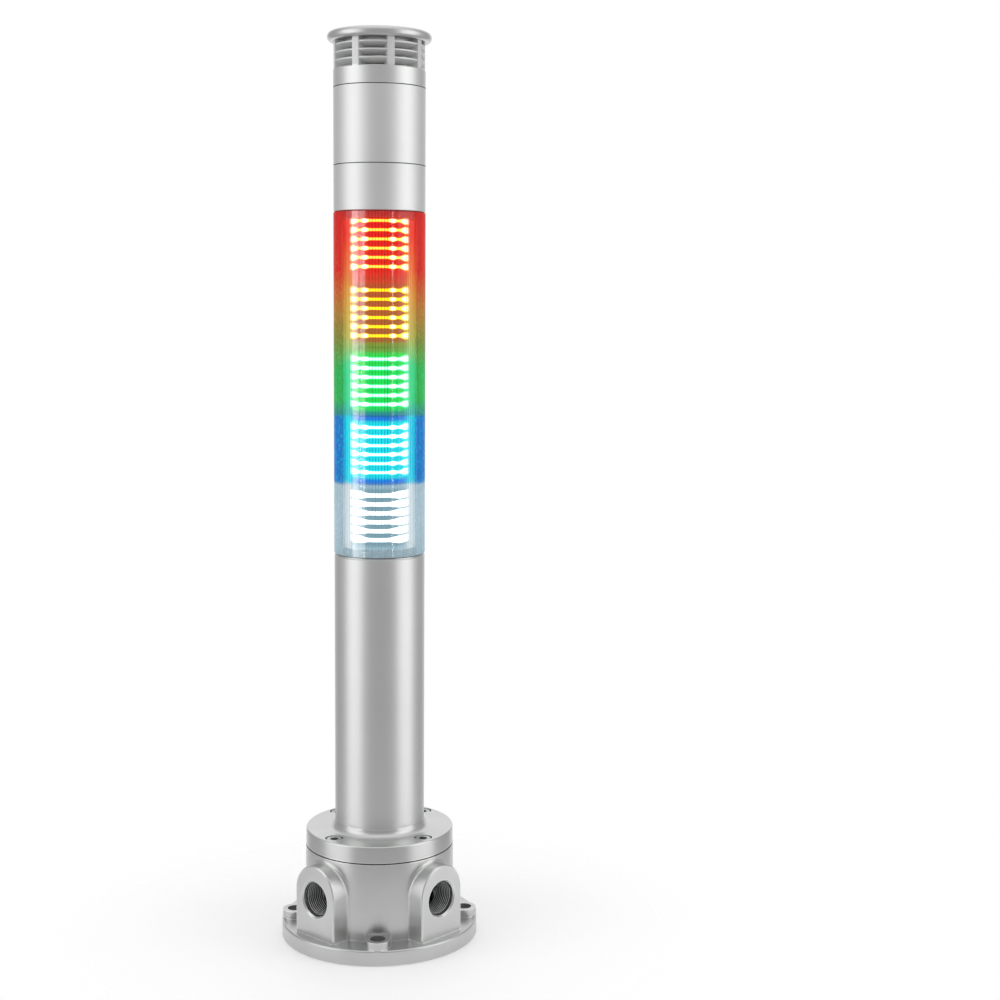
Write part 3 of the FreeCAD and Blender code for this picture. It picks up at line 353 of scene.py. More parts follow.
def facing(tree):
    """0 where a surface is seen square on, 1 where it is seen edge on."""
    return add(tree, "ShaderNodeLayerWeight", {"Blend": 0.5}).outputs["Facing"]


def edge_mask(tree, radius):
    """0 on flat faces, 1 along outer edges, where a highlight is painted."""
    rounded = add(tree, "ShaderNodeBevel", {"Radius": radius}, samples=4).outputs[0]
    normal = add(tree, "ShaderNodeNewGeometry").outputs["Normal"]
    product = add(tree, "ShaderNodeVectorMath", {0: rounded, 1: normal}, operation="DOT_PRODUCT")
    return remap(tree, product.outputs["Value"], FLAT_FACE, OUTER_EDGE)


def new_material(name, **constants):
    """A material with one Principled shader, its constants set on its own sockets."""
    material = bpy.data.materials.new(name)
    material.use_nodes = True
    tree = material.node_tree
    tree.nodes.clear()
    shader = add(tree, "ShaderNodeBsdfPrincipled")
    output = add(tree, "ShaderNodeOutputMaterial")
    tree.links.new(shader.outputs[0], output.inputs[0])
    for key, value in constants.items():
        shader.inputs[key.replace("_", " ")].default_value = value
    return material, tree, shader


def srgb(red, green, blue):
    """Linear colour of an sRGB colour given from 0 to 255."""
    def linear(value):
        share = value / 255
        return share / 12.92 if share <= 0.04045 else ((share + 0.055) / 1.055) ** 2.4
    return tuple(linear(value) for value in (red, green, blue))


def darker(colour, tone):
    """Colour made darker by a factor."""
    return tuple(part * tone for part in colour)


def opaque(colour):
    """Colour with full alpha, as a socket takes it."""
    return (*colour, 1.0)


# Materials

def satin_metal(name, colour, roughness):
    """Drawn and anodised tube: upright hairlines in the roughness, faint clouds in the colour."""
    material, tree, shader = new_material(name, Metallic=1.0)
    position = place(tree)[0]
    lines = noise(tree, stretched(tree, position, HAIRLINE_STRETCH), HAIRLINES, detail=2.0)
    clouds = noise(tree, position, METAL_CLOUDS, detail=4.0)
    feed(tree, shader.inputs["Base Color"], toned(tree, colour, varied(tree, clouds, 0.98, 1.01)))
    rough = around(tree, lines, roughness, METAL_SPREAD, HAIRLINE_MARGIN)
    feed(tree, shader.inputs["Roughness"], rough)
    feed(tree, shader.inputs["Normal"], bump(tree, lines, distance=0.001 * MM, strength=0.5))
    return material


def cast_metal(name, colour, roughness):
    """Die casting under silver enamel: orange peel, soft clouds, a painted highlight on its edges,
    painted shade towards its foot.
    """
    material, tree, shader = new_material(name, Metallic=0.92, Specular_IOR_Level=0.4)
    position = place(tree)[0]
    peel = noise(tree, position, ORANGE_PEEL, detail=2.0)
    clouds = noise(tree, position, ENAMEL_CLOUDS, detail=5.0)
    # Painted shade: the enamel is darker towards the floor, for the weaker light there
    painted_foot_shade = remap(tree, place(tree)[3], 0.0, FOOT_SHADE_HEIGHT, FOOT_SHADE_TONE, 1.0)
    tone = calc(tree, "MULTIPLY", varied(tree, clouds, 0.95, 1.03), painted_foot_shade)
    # Painted highlight: outer edges mixed towards near white, and made a little glossier
    painted_edge_highlight = edge_mask(tree, EDGE_HIGHLIGHT_RADIUS)
    bright = mix_colour(tree, painted_edge_highlight, toned(tree, colour, tone), opaque(srgb(253, 253, 252)))
    feed(tree, shader.inputs["Base Color"], bright)
    rough = around(tree, peel, roughness, METAL_SPREAD)
    smoother = calc(tree, "MULTIPLY", painted_edge_highlight, EDGE_HIGHLIGHT_GLOSS)
    feed(tree, shader.inputs["Roughness"], calc(tree, "SUBTRACT", rough, smoother))
    feed(tree, shader.inputs["Normal"], bump(tree, peel, distance=0.02 * MM, strength=0.22))
    return material


def louvre_enamel(name, colour, split_height):
    """Head casting: satin metal on its plain ring, silver enamel on the slats and ribs above."""
    material = satin_metal(name, colour, 0.42)
    tree = material.node_tree
    z = place(tree)[3]
    metallic = remap(tree, z, split_height, split_height + RING_FADE, 1.0, ENAMEL_METALLIC)
    feed(tree, tree.nodes["Principled BSDF"].inputs["Metallic"], metallic)
    return material


def moulded(name, colour, roughness):
    """Moulded plastic: fine spark-eroded texture and a slight mottle."""
    material, tree, shader = new_material(name)
    position = place(tree)[0]
    texture = noise(tree, position, SPARK_TEXTURE, detail=2.0)
    mottle = noise(tree, position, PLASTIC_MOTTLE, detail=3.0)
    stops = ((0.3, darker(colour, 0.88)), (0.7, colour))
    feed(tree, shader.inputs["Base Color"], ramp(tree, mottle, stops))
    feed(tree, shader.inputs["Roughness"], around(tree, texture, roughness, PLASTIC_SPREAD))
    feed(tree, shader.inputs["Normal"], bump(tree, texture, distance=0.03 * MM, strength=0.4))
    return material


def machined(name, colour, roughness, metallic=1.0):
    """Turned screw metal: fine random scratches in the gloss."""
    material, tree, shader = new_material(name, Metallic=metallic)
    position = place(tree)[0]
    scratches = noise(tree, stretched(tree, position, SCRATCH_STRETCH), SCRATCHES, detail=2.0)
    stain = noise(tree, position, METAL_STAIN, detail=3.0)
    stops = ((0.3, darker(colour, 0.8)), (0.65, colour))
    feed(tree, shader.inputs["Base Color"], ramp(tree, stain, stops))
    feed(tree, shader.inputs["Roughness"], around(tree, scratches, roughness, SCREW_SPREAD))
    return material


# Colours of the light

SLEEVE_STOPS = {
    "red": (
        (0.0, srgb(150, 0, 0)),
        (0.22, srgb(200, 20, 8)),
        (0.50, srgb(255, 170, 20)),
        (0.66, srgb(255, 225, 90)),
        (0.90, srgb(255, 255, 225)),
    ),
    "amber": (
        (0.0, srgb(115, 45, 18)),
        (0.22, srgb(160, 85, 5)),
        (0.45, srgb(235, 180, 0)),
        (0.66, srgb(255, 225, 0)),
        (0.92, srgb(255, 252, 210)),
    ),
    "green": (
        (0.0, srgb(0, 148, 45)),
        (0.22, srgb(0, 165, 50)),
        (0.50, srgb(40, 235, 130)),
        (0.66, srgb(150, 255, 205)),
        (0.90, srgb(240, 255, 250)),
    ),
    "blue": (
        (0.0, srgb(0, 150, 152)),
        (0.22, srgb(0, 195, 195)),
        (0.50, srgb(90, 245, 250)),
        (0.70, srgb(255, 255, 255)),
    ),
    "clear": (
        (0.0, srgb(62, 92, 102)),
        (0.20, srgb(120, 148, 156)),
        (0.40, srgb(240, 250, 250)),
        (0.60, srgb(255, 255, 255)),
    ),
}

END_COLOURS = {
    "clear": srgb(95, 118, 128),
    "blue": srgb(10, 60, 150),
    "teal": srgb(15, 85, 95),
    "green": srgb(25, 105, 45),
    "olive": srgb(85, 100, 20),
    "amber": srgb(130, 55, 20),
    "red": srgb(150, 10, 12),
}

# Light of each tier, painted on the clear lens as its colour and faint glow
LENS_LIGHT_COLOURS = {
    "clear": srgb(172, 200, 212),
    "blue": srgb(0, 118, 205),
    "teal": srgb(45, 140, 135),
    "green": srgb(40, 180, 80),
    "olive": srgb(125, 140, 50),
    "amber": srgb(182, 122, 45),
    "red": srgb(218, 30, 20),
}

HALO_COLOURS = {
    "clear": srgb(232, 240, 243),
    "blue": srgb(0, 246, 255),
    "teal": srgb(75, 200, 205),
    "green": srgb(70, 240, 170),
    "olive": srgb(214, 205, 95),
    "amber": srgb(238, 184, 66),
    "orange": srgb(246, 135, 48),
    "red": srgb(252, 56, 20),
}

# Half height of a sharp colour step, as a share of the lens height
SHARP_STEP = 0.004

# Joint between two tiers, offset from it as a share of the lens height, and the colour there
LENS_BLEND = (
    (1, 0.045, "green"),
    (2, -0.06, "green"),
    (2, 0.02, "olive"),
    (3, -0.09, "amber"),
    (3, 0.02, "red"),
)
HALO_BLEND = (
    (1, 0.045, "green"),
    (2, -0.05, "green"),
    (2, 0.03, "olive"),
    (3, -0.05, "amber"),
    (3, 0.02, "orange"),
    (3, 0.12, "red"),
)


def tier_edges():
    """Heights at which one tier gives way to the next, as shares of the lens height."""
    low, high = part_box("lens_tube")
    discs = [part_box(f"tier_disc_{count}") for count in range(2, len(TIERS) + 1)]
    return [((bottom.z + top.z) / 2 - low.z) / (high.z - low.z) for bottom, top in discs]


def tier_colours(tree, colours, blend):
    """Colour up the lens: sharp steps at the two lowest joints, then the stops of a blend."""
    low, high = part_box("lens_tube")
    share = remap(tree, place(tree)[3], low.z, high.z)
    joints = tier_edges()
    clear_top, blue_top = joints[:2]
    stops = [
        (0.0, colours["clear"]),
        (clear_top - SHARP_STEP, colours["clear"]),
        (clear_top + SHARP_STEP, colours["blue"]),
        (blue_top - SHARP_STEP, colours["blue"]),
        (blue_top + SHARP_STEP, colours["teal"]),
    ]
    stops += [(joints[joint] + offset, colours[name]) for joint, offset, name in blend]
    return ramp(tree, share, stops)


# Lit tiers

def row_distance(tree, height, tier):
    """Distance up or down to the nearest LED row of a tier, in metres."""
    low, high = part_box(f"leds_{tier}")
    lowest = low.z + LED_SIZE / 2
    pitch = (high.z - low.z - LED_SIZE) / (LED_ROWS - 1)
    steps = calc(tree, "DIVIDE", calc(tree, "SUBTRACT", height, lowest), pitch)
    held = calc(tree, "MINIMUM", calc(tree, "MAXIMUM", steps, 0.0), LED_ROWS - 1.0)
    nearest = calc(tree, "MULTIPLY", calc(tree, "ROUND", held), pitch)
    return off_by(tree, height, calc(tree, "ADD", nearest, lowest))


def front_angle(tree, x, y):
    """Angle round the axis from the front, in degrees from -180 to 180."""
    turn = calc(tree, "ARCTAN2", x, calc(tree, "MULTIPLY", y, -1.0))
    return calc(tree, "DEGREES", turn)


def knots(tree, x, y, spread):
    """How near a point is to the LED columns: wide glows at the sides, narrow ones between."""
    turned = calc(tree, "ABSOLUTE", front_angle(tree, x, y))
    off_side = off_by(tree, turned, SIDE_COLUMNS)
    wide = remap(tree, off_side, spread, spread - WIDE_FADE, smooth=True)
    narrow = remap(tree, off_by(tree, off_side, NEXT_COLUMNS), *NARROW_REACH, smooth=True)
    return wide, narrow


def streaks(tree, tier):
    """Brightness from 0 to 1 of the streaks that the flutes draw out of the LEDs of a tier."""
    bar, wide_extra, narrow_extra = STREAK_SIZES[tier]
    bar_level, spread = STREAK_LEVELS[tier]
    x, y, z = place(tree)[1:]
    wide, narrow = knots(tree, x, y, spread)
    reach = calc(tree, "MULTIPLY_ADD", wide, wide_extra * MM, bar * MM)
    reach = calc(tree, "MULTIPLY_ADD", narrow, narrow_extra * MM, reach)
    near = calc(tree, "DIVIDE", row_distance(tree, z, tier), reach)
    profile = remap(tree, near, *STREAK_FADE, smooth=True)
    hottest = calc(tree, "MAXIMUM", wide, narrow)
    level = calc(tree, "MULTIPLY_ADD", hottest, 1 - bar_level, bar_level)
    return calc(tree, "MULTIPLY", profile, level)


def lit_sleeve(tier):
    """A tier's diffuser sleeve with its rows of streaks, each hottest at the LEDs."""
    name = f"sleeve_{tier}_glow"
    material, tree, shader = new_material(name, Roughness=0.5, Emission_Strength=SLEEVE_GLOW)
    stops = SLEEVE_STOPS[tier]
    light = ramp(tree, streaks(tree, tier), stops)
    beyond = remap(tree, row_distance(tree, place(tree)[3], tier), *ROW_END, smooth=True)
    ends = tier_colours(tree, END_COLOURS, LENS_BLEND)
    feed(tree, shader.inputs["Emission Color"], mix_colour(tree, beyond, light, ends))
    unlit = stops[0][1]
    shader.inputs["Base Color"].default_value = opaque(darker(unlit, UNLIT_TONE))
    return material


def tinted_disc():
    """Tier disc that takes the light of the tiers on both sides."""
    material, tree, shader = new_material("tier_disc_lit", Roughness=0.5, Emission_Strength=DISC_GLOW)
    tint = tier_colours(tree, END_COLOURS, LENS_BLEND)
    feed(tree, shader.inputs["Base Color"], tint)
    feed(tree, shader.inputs["Emission Color"], tint)
    return material


def flute_lines(tree):
    """0 to 1 round the tube, once for each flute, uneven as the moulding is, for painted shade and a
    denser wall down the flutes.
    """
    position, x, y = place(tree)[:3]
    turn = calc(tree, "MULTIPLY", calc(tree, "ARCTAN2", x, y), float(LENS_FLUTES))
    wave = calc(tree, "MULTIPLY_ADD", calc(tree, "COSINE", turn), 0.5, 0.5)
    uneven = noise(tree, stretched(tree, position, FLUTE_STRETCH), FLUTE_UNEVENNESS, detail=2.0)
    return calc(tree, "MULTIPLY", wave, varied(tree, uneven, 0.0, 1.0))


def socket_mask(tree):
    """1 at both ends of the lens, where it sits in its sockets, and 0 between them."""
    low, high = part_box("lens_tube")
    z = place(tree)[3]
    top = high.z - LENS_SOCKET
    foot = low.z + LENS_SOCKET
    at_top = remap(tree, z, top - SOCKET_FADE, top, smooth=True)
    at_foot = remap(tree, z, foot + SOCKET_FADE, foot, smooth=True)
    return calc(tree, "MAXIMUM", at_top, at_foot)


def lens_material():
    """Clear ribbed tube with the light of its tiers painted on as colour and faint glow, densest where
    its wall is seen edge on.
    """
    constants = {"Roughness": 0.5, "Specular_IOR_Level": 0.05, "Emission_Strength": LENS_GLOW}
    material, tree, shader = new_material("ribbed_lens", **constants)
    # Painted light: the lens takes the colours and glow of its lit tiers, with specks in the glow's
    # colour
    grain = noise(tree, place(tree)[0], LENS_SPECKS, detail=2.0)
    glow_specks = remap(tree, grain, *SPECK_RANGE, 0.0, SPECK_SHARE)
    painted_body_light = tier_colours(tree, LENS_LIGHT_COLOURS, LENS_BLEND)
    glow_tint = tier_colours(tree, HALO_COLOURS, HALO_BLEND)
    tint = mix_colour(tree, glow_specks, painted_body_light, glow_tint)
    lines = flute_lines(tree)
    # Painted shade: a dark line down each flute
    shaded = mix_colour(tree, calc(tree, "MULTIPLY", lines, FLUTE_SHADE), tint, BLACK)
    feed(tree, shader.inputs["Base Color"], shaded)
    feed(tree, shader.inputs["Emission Color"], shaded)
    wall = remap(tree, facing(tree), *WALL_FACING, *WALL_ALPHA, smooth=True)
    ends = calc(tree, "MULTIPLY", socket_mask(tree), SOCKET_ALPHA)
    solid = calc(tree, "MAXIMUM", wall, ends)
    feed(tree, shader.inputs["Alpha"], calc(tree, "MULTIPLY_ADD", lines, FLUTE_ALPHA, solid))
    return material


def skin_material():
    """Polished outer surface of the lens: gloss alone, with faint upright moulding waves."""
    constants = {"Metallic": 1.0, "Alpha": SKIN_GLOSS, "Base_Color": WHITE}
    material, tree, shader = new_material("lens_skin", **constants)
    position = stretched(tree, place(tree)[0], WAVE_STRETCH)
    waves = noise(tree, position, MOULDING_WAVES, detail=2.0)
    feed(tree, shader.inputs["Roughness"], varied(tree, waves, *SKIN_ROUGHNESS))
    feed(tree, shader.inputs["Normal"], bump(tree, waves, distance=0.01 * MM, strength=0.3))
    return material


def halo_material():
    """Light scattered between the sleeves and the lens, thickest where it is seen edge on."""
    constants = {
        "Base_Color": BLACK,
        "Roughness": 0.6,
        "Specular_IOR_Level": 0.0,
        "Emission_Strength": 1.0,
    }
    material, tree, shader = new_material("tier_halo", **constants)
    feed(tree, shader.inputs["Emission Color"], tier_colours(tree, HALO_COLOURS, HALO_BLEND))
    edge = facing(tree)
    rise = remap(tree, edge, *HALO_FACING, *HALO_ALPHA, smooth=True)
    fall = remap(tree, edge, *HALO_FADE, smooth=True)
    feed(tree, shader.inputs["Alpha"], calc(tree, "MULTIPLY", rise, fall))
    return material


# Pieces

def mesh_piece(name, vertices, faces, material):
    """A piece from points and faces, riding with the part."""
    mesh = bpy.data.meshes.new(name)
    mesh.from_pydata(vertices, [], faces)
    mesh.validate()
    form = bmesh.new()
    form.from_mesh(mesh)
    bmesh.ops.recalc_face_normals(form, faces=form.faces)
    form.to_mesh(mesh)
    form.free()
    for face in mesh.polygons:
        face.use_smooth = True
    mesh.set_sharp_from_angle(angle=SHARP_ANGLE)
    mesh.materials.append(material)
    piece = bpy.data.objects.new(name, mesh)
    bpy.context.scene.collection.objects.link(piece)
    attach(piece, "root")
    return piece


def ring(radii, z):
    """Points round the axis at one height, one for each radius."""
    count = len(radii)
    turns = [2 * math.pi * step / count for step in range(count)]
    return [(r * math.sin(turn), -r * math.cos(turn), z) for r, turn in zip(radii, turns)]


def loft(rings, closed):
    """Points and quads between rings, and between the last and first ring where closed."""
    count = len(rings[0])
    faces = []
    last = len(rings) if closed else len(rings) - 1
    for level in range(last):
        below = level * count
        above = ((level + 1) % len(rings)) * count
        for step in range(count):
            after = (step + 1) % count
            faces.append((below + step, below + after, above + after, above + step))
    return [point for points in rings for point in points], faces


def turned_piece(name, profile, count, material, closed=True):
    """A piece turned round the axis from a profile of (radius, height) corners."""
    rings = [ring([radius] * count, z) for radius, z in profile]
    vertices, faces = loft(rings, closed)
    return mesh_piece(name, vertices, faces, material)


def fluted_lens():
    """The lens: smooth outside, ninety round flutes down its inside."""
    low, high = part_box("lens_tube")
    outer = high.x - SKIN_THICKNESS - SKIN_CLEARANCE
    inner = high.x - LENS_WALL
    count = LENS_FLUTES * STEPS_PER_FLUTE
    flutes = []
    for step in range(count):
        across = 2 * ((step % STEPS_PER_FLUTE) / STEPS_PER_FLUTE) - 1
        flutes.append(inner + FLUTE_DEPTH * math.sqrt(1 - across * across))
    plain = [outer] * count
    eased = [outer - LENS_EDGE] * count
    rings = [
        ring(eased, low.z),
        ring(plain, low.z + LENS_EDGE),
        ring(plain, high.z - LENS_EDGE),
        ring(eased, high.z),
        ring(flutes, high.z),
        ring(flutes, low.z),
    ]
    vertices, faces = loft(rings, closed=True)
    lens = mesh_piece("fluted_lens", vertices, faces, lens_material())
    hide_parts("lens_tube")


def lens_skin():
    """The polished outside of the lens, a thin clear tube round the ribbed body."""
    low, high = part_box("lens_tube")
    outer = high.x
    inner = high.x - SKIN_THICKNESS
    profile = [(inner, low.z), (outer, low.z), (outer, high.z), (inner, high.z)]
    skin = turned_piece("lens_skin", profile, SKIN_STEPS, skin_material())


def halo_tube():
    """A thin tube of scattered light between sleeves and lens."""
    low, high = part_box("lens_tube")
    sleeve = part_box("tier_sleeve_red")[1].x
    radius = sleeve + HALO_PLACE * (high.x - LENS_WALL - sleeve)
    profile = [(radius, low.z + HALO_FOOT), (radius, high.z - HALO_TOP)]
    halo = turned_piece("tier_halo", profile, HALO_STEPS, halo_material(), closed=False)


def thread_profile(turn, start, end):
    """Radius and place along the hole of the five points across one thread ridge."""
    middle = start + THREAD_PITCH * turn
    travelled = min(middle - start, end - middle) / THREAD_PITCH
    depth = (THREAD_OUTER - THREAD_INNER) * max(LEAST_DEPTH, min(1.0, travelled / RUN_OUT))
    half = THREAD_PITCH / 2
    crest = THREAD_OUTER - depth
    return (
        (THREAD_OUTER, middle - half),
        (crest + depth * CREST_EASE, middle - half * CREST_WIDTH),
        (crest, middle),
        (crest + depth * CREST_EASE, middle + half * CREST_WIDTH),
        (THREAD_OUTER, middle + half),
    )


def entry_thread(name, side, root, crest):
    """The conduit thread in one entry: a helical ridge on the wall of the hole, with painted shade on
    its flanks and a painted highlight on its crest.
    """
    outward = Vector((side * math.sin(ENTRY_TURN), -math.cos(ENTRY_TURN), 0.0))
    up = Vector((0.0, 0.0, 1.0))
    across = outward.cross(up)
    centre = Vector((0.0, 0.0, ENTRY_HEIGHT))
    start = THREAD_START + THREAD_PITCH / 2
    end = THREAD_END - THREAD_PITCH / 2
    turns = (THREAD_END - THREAD_START) / THREAD_PITCH - 1
    profiles = []
    vertices = []
    for step in range(int(turns * THREAD_STEPS) + 1):
        turn = step / THREAD_STEPS
        angle = 2 * math.pi * turn
        spoke = up * math.cos(angle) + across * math.sin(angle)
        profiles.append(thread_profile(turn, start, end))
        for radius, along in profiles[-1]:
            vertices.append(centre + outward * along + spoke * radius)
    width = len(profiles[0])
    faces = []
    for step in range(len(profiles) - 1):
        for row in range(width - 1):
            base = step * width + row
            faces.append((base, base + 1, base + width + 1, base + width))
    thread = mesh_piece(name, vertices, faces, root)
    # Crest faces take the painted highlight, the flanks the painted shade
    thread.data.materials.append(crest)
    for count, face in enumerate(thread.data.polygons):
        face.material_index = 1 if count % (width - 1) in (1, 2) else 0


def seam(name, z, radius, painted_shade, light):
    """A seam round the tube at height z: a dark ring as painted shade of the gap, with a near-white
    eased edge above it as a painted highlight.
    """
    proud = radius + SEAM_PROUD
    sunk = radius - SEAM_SUNK
    ease = SEAM_LIP * LIP_EASE
    gap = [(sunk, z - SEAM_GAP), (proud, z - SEAM_GAP), (proud, z), (sunk, z)]
    lip = [(sunk, z), (proud, z + ease), (proud, z + SEAM_LIP - ease), (sunk, z + SEAM_LIP)]
    for part, profile, material in (("gap", gap, painted_shade), ("lip", lip, light)):
        piece = turned_piece(f"{name}_{part}", profile, SEAM_STEPS, material)


# Dressing

def dress(node, material):
    """Gives a CAD node a finished material in all its slots."""
    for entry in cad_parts[node].material_slots:
        entry.material = material


def slot_of(node):
    """The record's material slot of a CAD node, as its packed material is named."""
    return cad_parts[node].material_slots[0].material.name.split(".")[0]


def slot_finishes():
    """One finished material for each slot of the record, but for the sleeves, which have their own."""
    ring_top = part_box("louver_head")[0].z + RING_HEIGHT
    return {
        "base_alloy": cast_metal("cast_enamel", srgb(208, 209, 208), 0.31),
        "column_alloy": satin_metal("drawn_aluminium", srgb(221, 222, 221), 0.41),
        "head_alloy": louvre_enamel("head_enamel", srgb(228, 229, 228), ring_top),
        "core_alloy": satin_metal("core_aluminium", srgb(205, 206, 206), 0.35),
        "lens_plastic": moulded("lens_blank", srgb(200, 205, 208), 0.3),
        "disc_plastic": tinted_disc(),
        "board_white": moulded("board_mask", srgb(236, 236, 232), 0.35),
        "seal_rubber": moulded("seal_rubber", srgb(38, 38, 40), 0.7),
        "steel": machined("zinc_steel", srgb(200, 202, 204), 0.3),
        "brass": machined("brass", srgb(214, 180, 100), 0.3),
        "terminal_plastic": moulded("terminal_plastic", srgb(212, 208, 192), 0.4),
        "sounder_plastic": moulded("sounder_plastic", srgb(40, 40, 42), 0.5),
        "plate_steel": machined("plate_steel", srgb(176, 178, 180), 0.4),
        "board_green": moulded("board_green", srgb(20, 90, 50), 0.35),
        "wire_sheath": moulded("wire_sheath", srgb(46, 46, 50), 0.5),
        "led_clear": moulded("led_clear", srgb(240, 240, 235), 0.2),
        "led_blue": moulded("led_blue", srgb(60, 120, 235), 0.2),
        "led_green": moulded("led_green", srgb(60, 200, 110), 0.2),
        "led_amber": moulded("led_amber", srgb(240, 180, 40), 0.2),
        "led_red": moulded("led_red", srgb(225, 40, 30), 0.2),
    }


def node_finishes():
    """Materials of the nodes that differ from the other nodes of their slot."""
    soft_satin = satin_metal("tube_aluminium", srgb(235, 236, 235), 0.50)
    finishes = {f"tier_sleeve_{tier}": lit_sleeve(tier) for tier in TIERS}
    finishes["top_cap"] = satin_metal("cap_aluminium", srgb(212, 213, 212), 0.36)
    finishes["sounder_tube"] = soft_satin
    finishes["upper_collar"] = soft_satin
    return finishes


def dress_nodes(of_slot, of_node):
    """Every CAD node takes its own finish, or else the finish of its slot."""
    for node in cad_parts:
        dress(node, of_node.get(node) or of_slot[slot_of(node)])


# Studio

def build_camera():
    """Camera at the photograph's viewing angle."""
    data = bpy.data.cameras.new("camera")
    data.sensor_width = SENSOR_WIDTH
    data.lens = FOCAL_PIXELS / IMAGE_PIXELS * SENSOR_WIDTH
    data.shift_y = CAMERA_SHIFT
    camera = bpy.data.objects.new("camera", data)
    bpy.context.scene.collection.objects.link(camera)
    camera.location = (
        -CAMERA_DISTANCE * math.sin(CAMERA_AZIMUTH),
        -CAMERA_DISTANCE * math.cos(CAMERA_AZIMUTH),
        CAMERA_HEIGHT,
    )
    turn = Euler((0.0, 0.0, CAMERA_YAW - CAMERA_AZIMUTH)).to_matrix()
    tilt = Euler((math.pi / 2 + CAMERA_PITCH, 0.0, 0.0)).to_matrix()
    roll = Euler((0.0, 0.0, CAMERA_ROLL)).to_matrix()
    camera.rotation_euler = (turn @ tilt @ roll).to_euler()
    bpy.context.scene.camera = camera


def softbox(name, azimuth, width, radiance):
    """Upright soft light turned to the part; returns the lamp."""
    data = bpy.data.lights.new(name, "AREA")
    data.shape = "RECTANGLE"
    data.size = width
    data.size_y = SOFTBOX_HEIGHT
    data.energy = radiance * math.pi * width * SOFTBOX_HEIGHT
    lamp = bpy.data.objects.new(name, data)
    bpy.context.scene.collection.objects.link(lamp)
    aim = Vector((0.0, 0.0, (cad_low.z + cad_high.z) / 2))
    away = Vector((math.sin(azimuth), -math.cos(azimuth), SOFTBOX_RISE))
    lamp.location = aim + away.normalized() * SOFTBOX_DISTANCE
    lamp.rotation_euler = (aim - lamp.location).to_track_quat("-Z", "Y").to_euler()
    return lamp


def strip(azimuth, width, radiance):
    """Narrow upright light that only the lens reflects."""
    name = f"strip_{azimuth}"
    lamp = softbox(name, math.radians(azimuth), width, radiance)
    lamp.visible_camera = False
    lamp.visible_transmission = False
    seen_by = bpy.data.collections.new(f"{name}_receivers")
    seen_by.objects.link(bpy.data.objects["lens_skin"])
    lamp.light_linking.receiver_collection = seen_by


def build_world():
    """Plain grey room, brighter overhead, with a white backdrop behind the part and in every view."""
    world = bpy.data.worlds.new("studio")
    bpy.context.scene.world = world
    world.use_nodes = True
    tree = world.node_tree
    tree.nodes.clear()
    direction = add(tree, "ShaderNodeTexCoord").outputs["Generated"]
    x, y, z = add(tree, "ShaderNodeSeparateXYZ", {0: direction}).outputs
    backward = calc(tree, "DIVIDE", y, from_axis(tree, x, y))
    behind = remap(tree, backward, BACKDROP_OUTER, BACKDROP_INNER, smooth=True)
    backdrop = calc(tree, "MULTIPLY", behind, BACKDROP_WHITE)
    bands = (OVERHEAD_START, OVERHEAD_FULL, WORLD_GREY, WORLD_OVERHEAD)
    room = calc(tree, "MAXIMUM", backdrop, remap(tree, z, *bands, smooth=True))
    path = add(tree, "ShaderNodeLightPath").outputs
    seen = calc(tree, "MAXIMUM", path["Is Camera Ray"], path["Is Transmission Ray"])
    light = calc(tree, "MAXIMUM", room, calc(tree, "MULTIPLY", seen, BACKDROP_WHITE))
    background = add(tree, "ShaderNodeBackground", {"Color": WHITE, "Strength": light})
    output = add(tree, "ShaderNodeOutputWorld")
    tree.links.new(background.outputs[0], output.inputs[0])


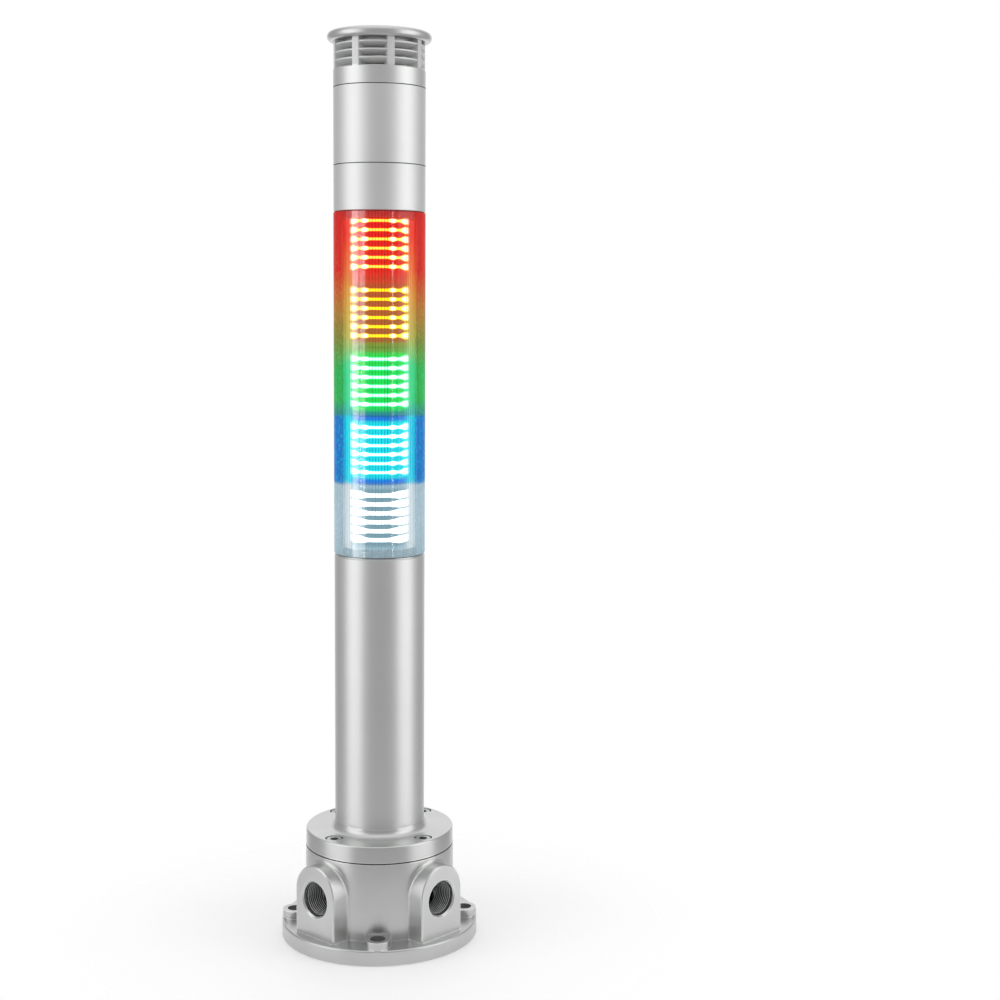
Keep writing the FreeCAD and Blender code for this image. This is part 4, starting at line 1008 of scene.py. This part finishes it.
def floor_material():
    """Pale matt floor that fades out away from the part."""
    constants = {"Roughness": 0.8, "Specular_IOR_Level": 0.2, "Emission_Color": WHITE}
    material, tree, shader = new_material("floor", **constants)
    position, x, y = place(tree)[:3]
    mottle = noise(tree, position, FLOOR_MOTTLE, detail=2.0)
    tone = ramp(tree, mottle, ((0.3, FLOOR_DARK), (0.7, FLOOR_LIGHT)))
    feed(tree, shader.inputs["Base Color"], tone)
    solid = remap(tree, from_axis(tree, x, y), FLOOR_RADIUS, FLOOR_SOLID_RADIUS, smooth=True)
    feed(tree, shader.inputs["Alpha"], solid)
    path = add(tree, "ShaderNodeLightPath").outputs
    indirect = calc(tree, "MAXIMUM", path["Is Glossy Ray"], path["Is Transmission Ray"])
    seen = calc(tree, "MAXIMUM", path["Is Camera Ray"], indirect)
    feed(tree, shader.inputs["Emission Strength"], calc(tree, "MULTIPLY", seen, FLOOR_LIFT))
    return material


def build_floor():
    """Round pale floor under the part."""
    mesh = bpy.data.meshes.new("floor")
    rim = ring([FLOOR_RADIUS] * FLOOR_STEPS, -FLOOR_DROP)
    mesh.from_pydata(rim, [], [tuple(range(FLOOR_STEPS))])
    mesh.materials.append(floor_material())
    floor = bpy.data.objects.new("floor", mesh)
    bpy.context.scene.collection.objects.link(floor)


# Scene

bpy.context.scene.view_settings.view_transform = "Standard"
slot_finish = slot_finishes()
dress_nodes(slot_finish, node_finishes())
fluted_lens()
lens_skin()
halo_tube()
# Thread colours: painted shade on the flanks, a painted highlight on the crest
thread_painted_shade = machined("thread_painted_shade", srgb(66, 67, 69), 0.45)
thread_painted_highlight = machined("thread_painted_highlight", srgb(246, 247, 247), 0.35, metallic=0.25)
entry_thread("entry_thread_left", -1, thread_painted_shade, thread_painted_highlight)
entry_thread("entry_thread_right", 1, thread_painted_shade, thread_painted_highlight)
# Seam colours: a dark ring as painted shade, a near-white lip as a painted highlight
seam_painted_shade = slot_finish["seal_rubber"]
seam_painted_highlight = machined("painted_seam_highlight", srgb(250, 250, 249), 0.5)
tube_low, tube_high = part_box("sounder_tube")
seam("upper_seam", tube_high.z, tube_high.x, seam_painted_shade, seam_painted_highlight)
seam("lower_seam", tube_low.z, tube_high.x, seam_painted_shade, seam_painted_highlight)
build_camera()
softbox("softbox_left", SOFTBOX_LEFT, SOFTBOX_WIDTH, SOFTBOX_RADIANCE)
softbox("softbox_right", SOFTBOX_RIGHT, SOFTBOX_WIDTH, SOFTBOX_RADIANCE)
for azimuth, width, radiance in STRIPS:
    strip(azimuth, width, radiance)
build_world()
build_floor()
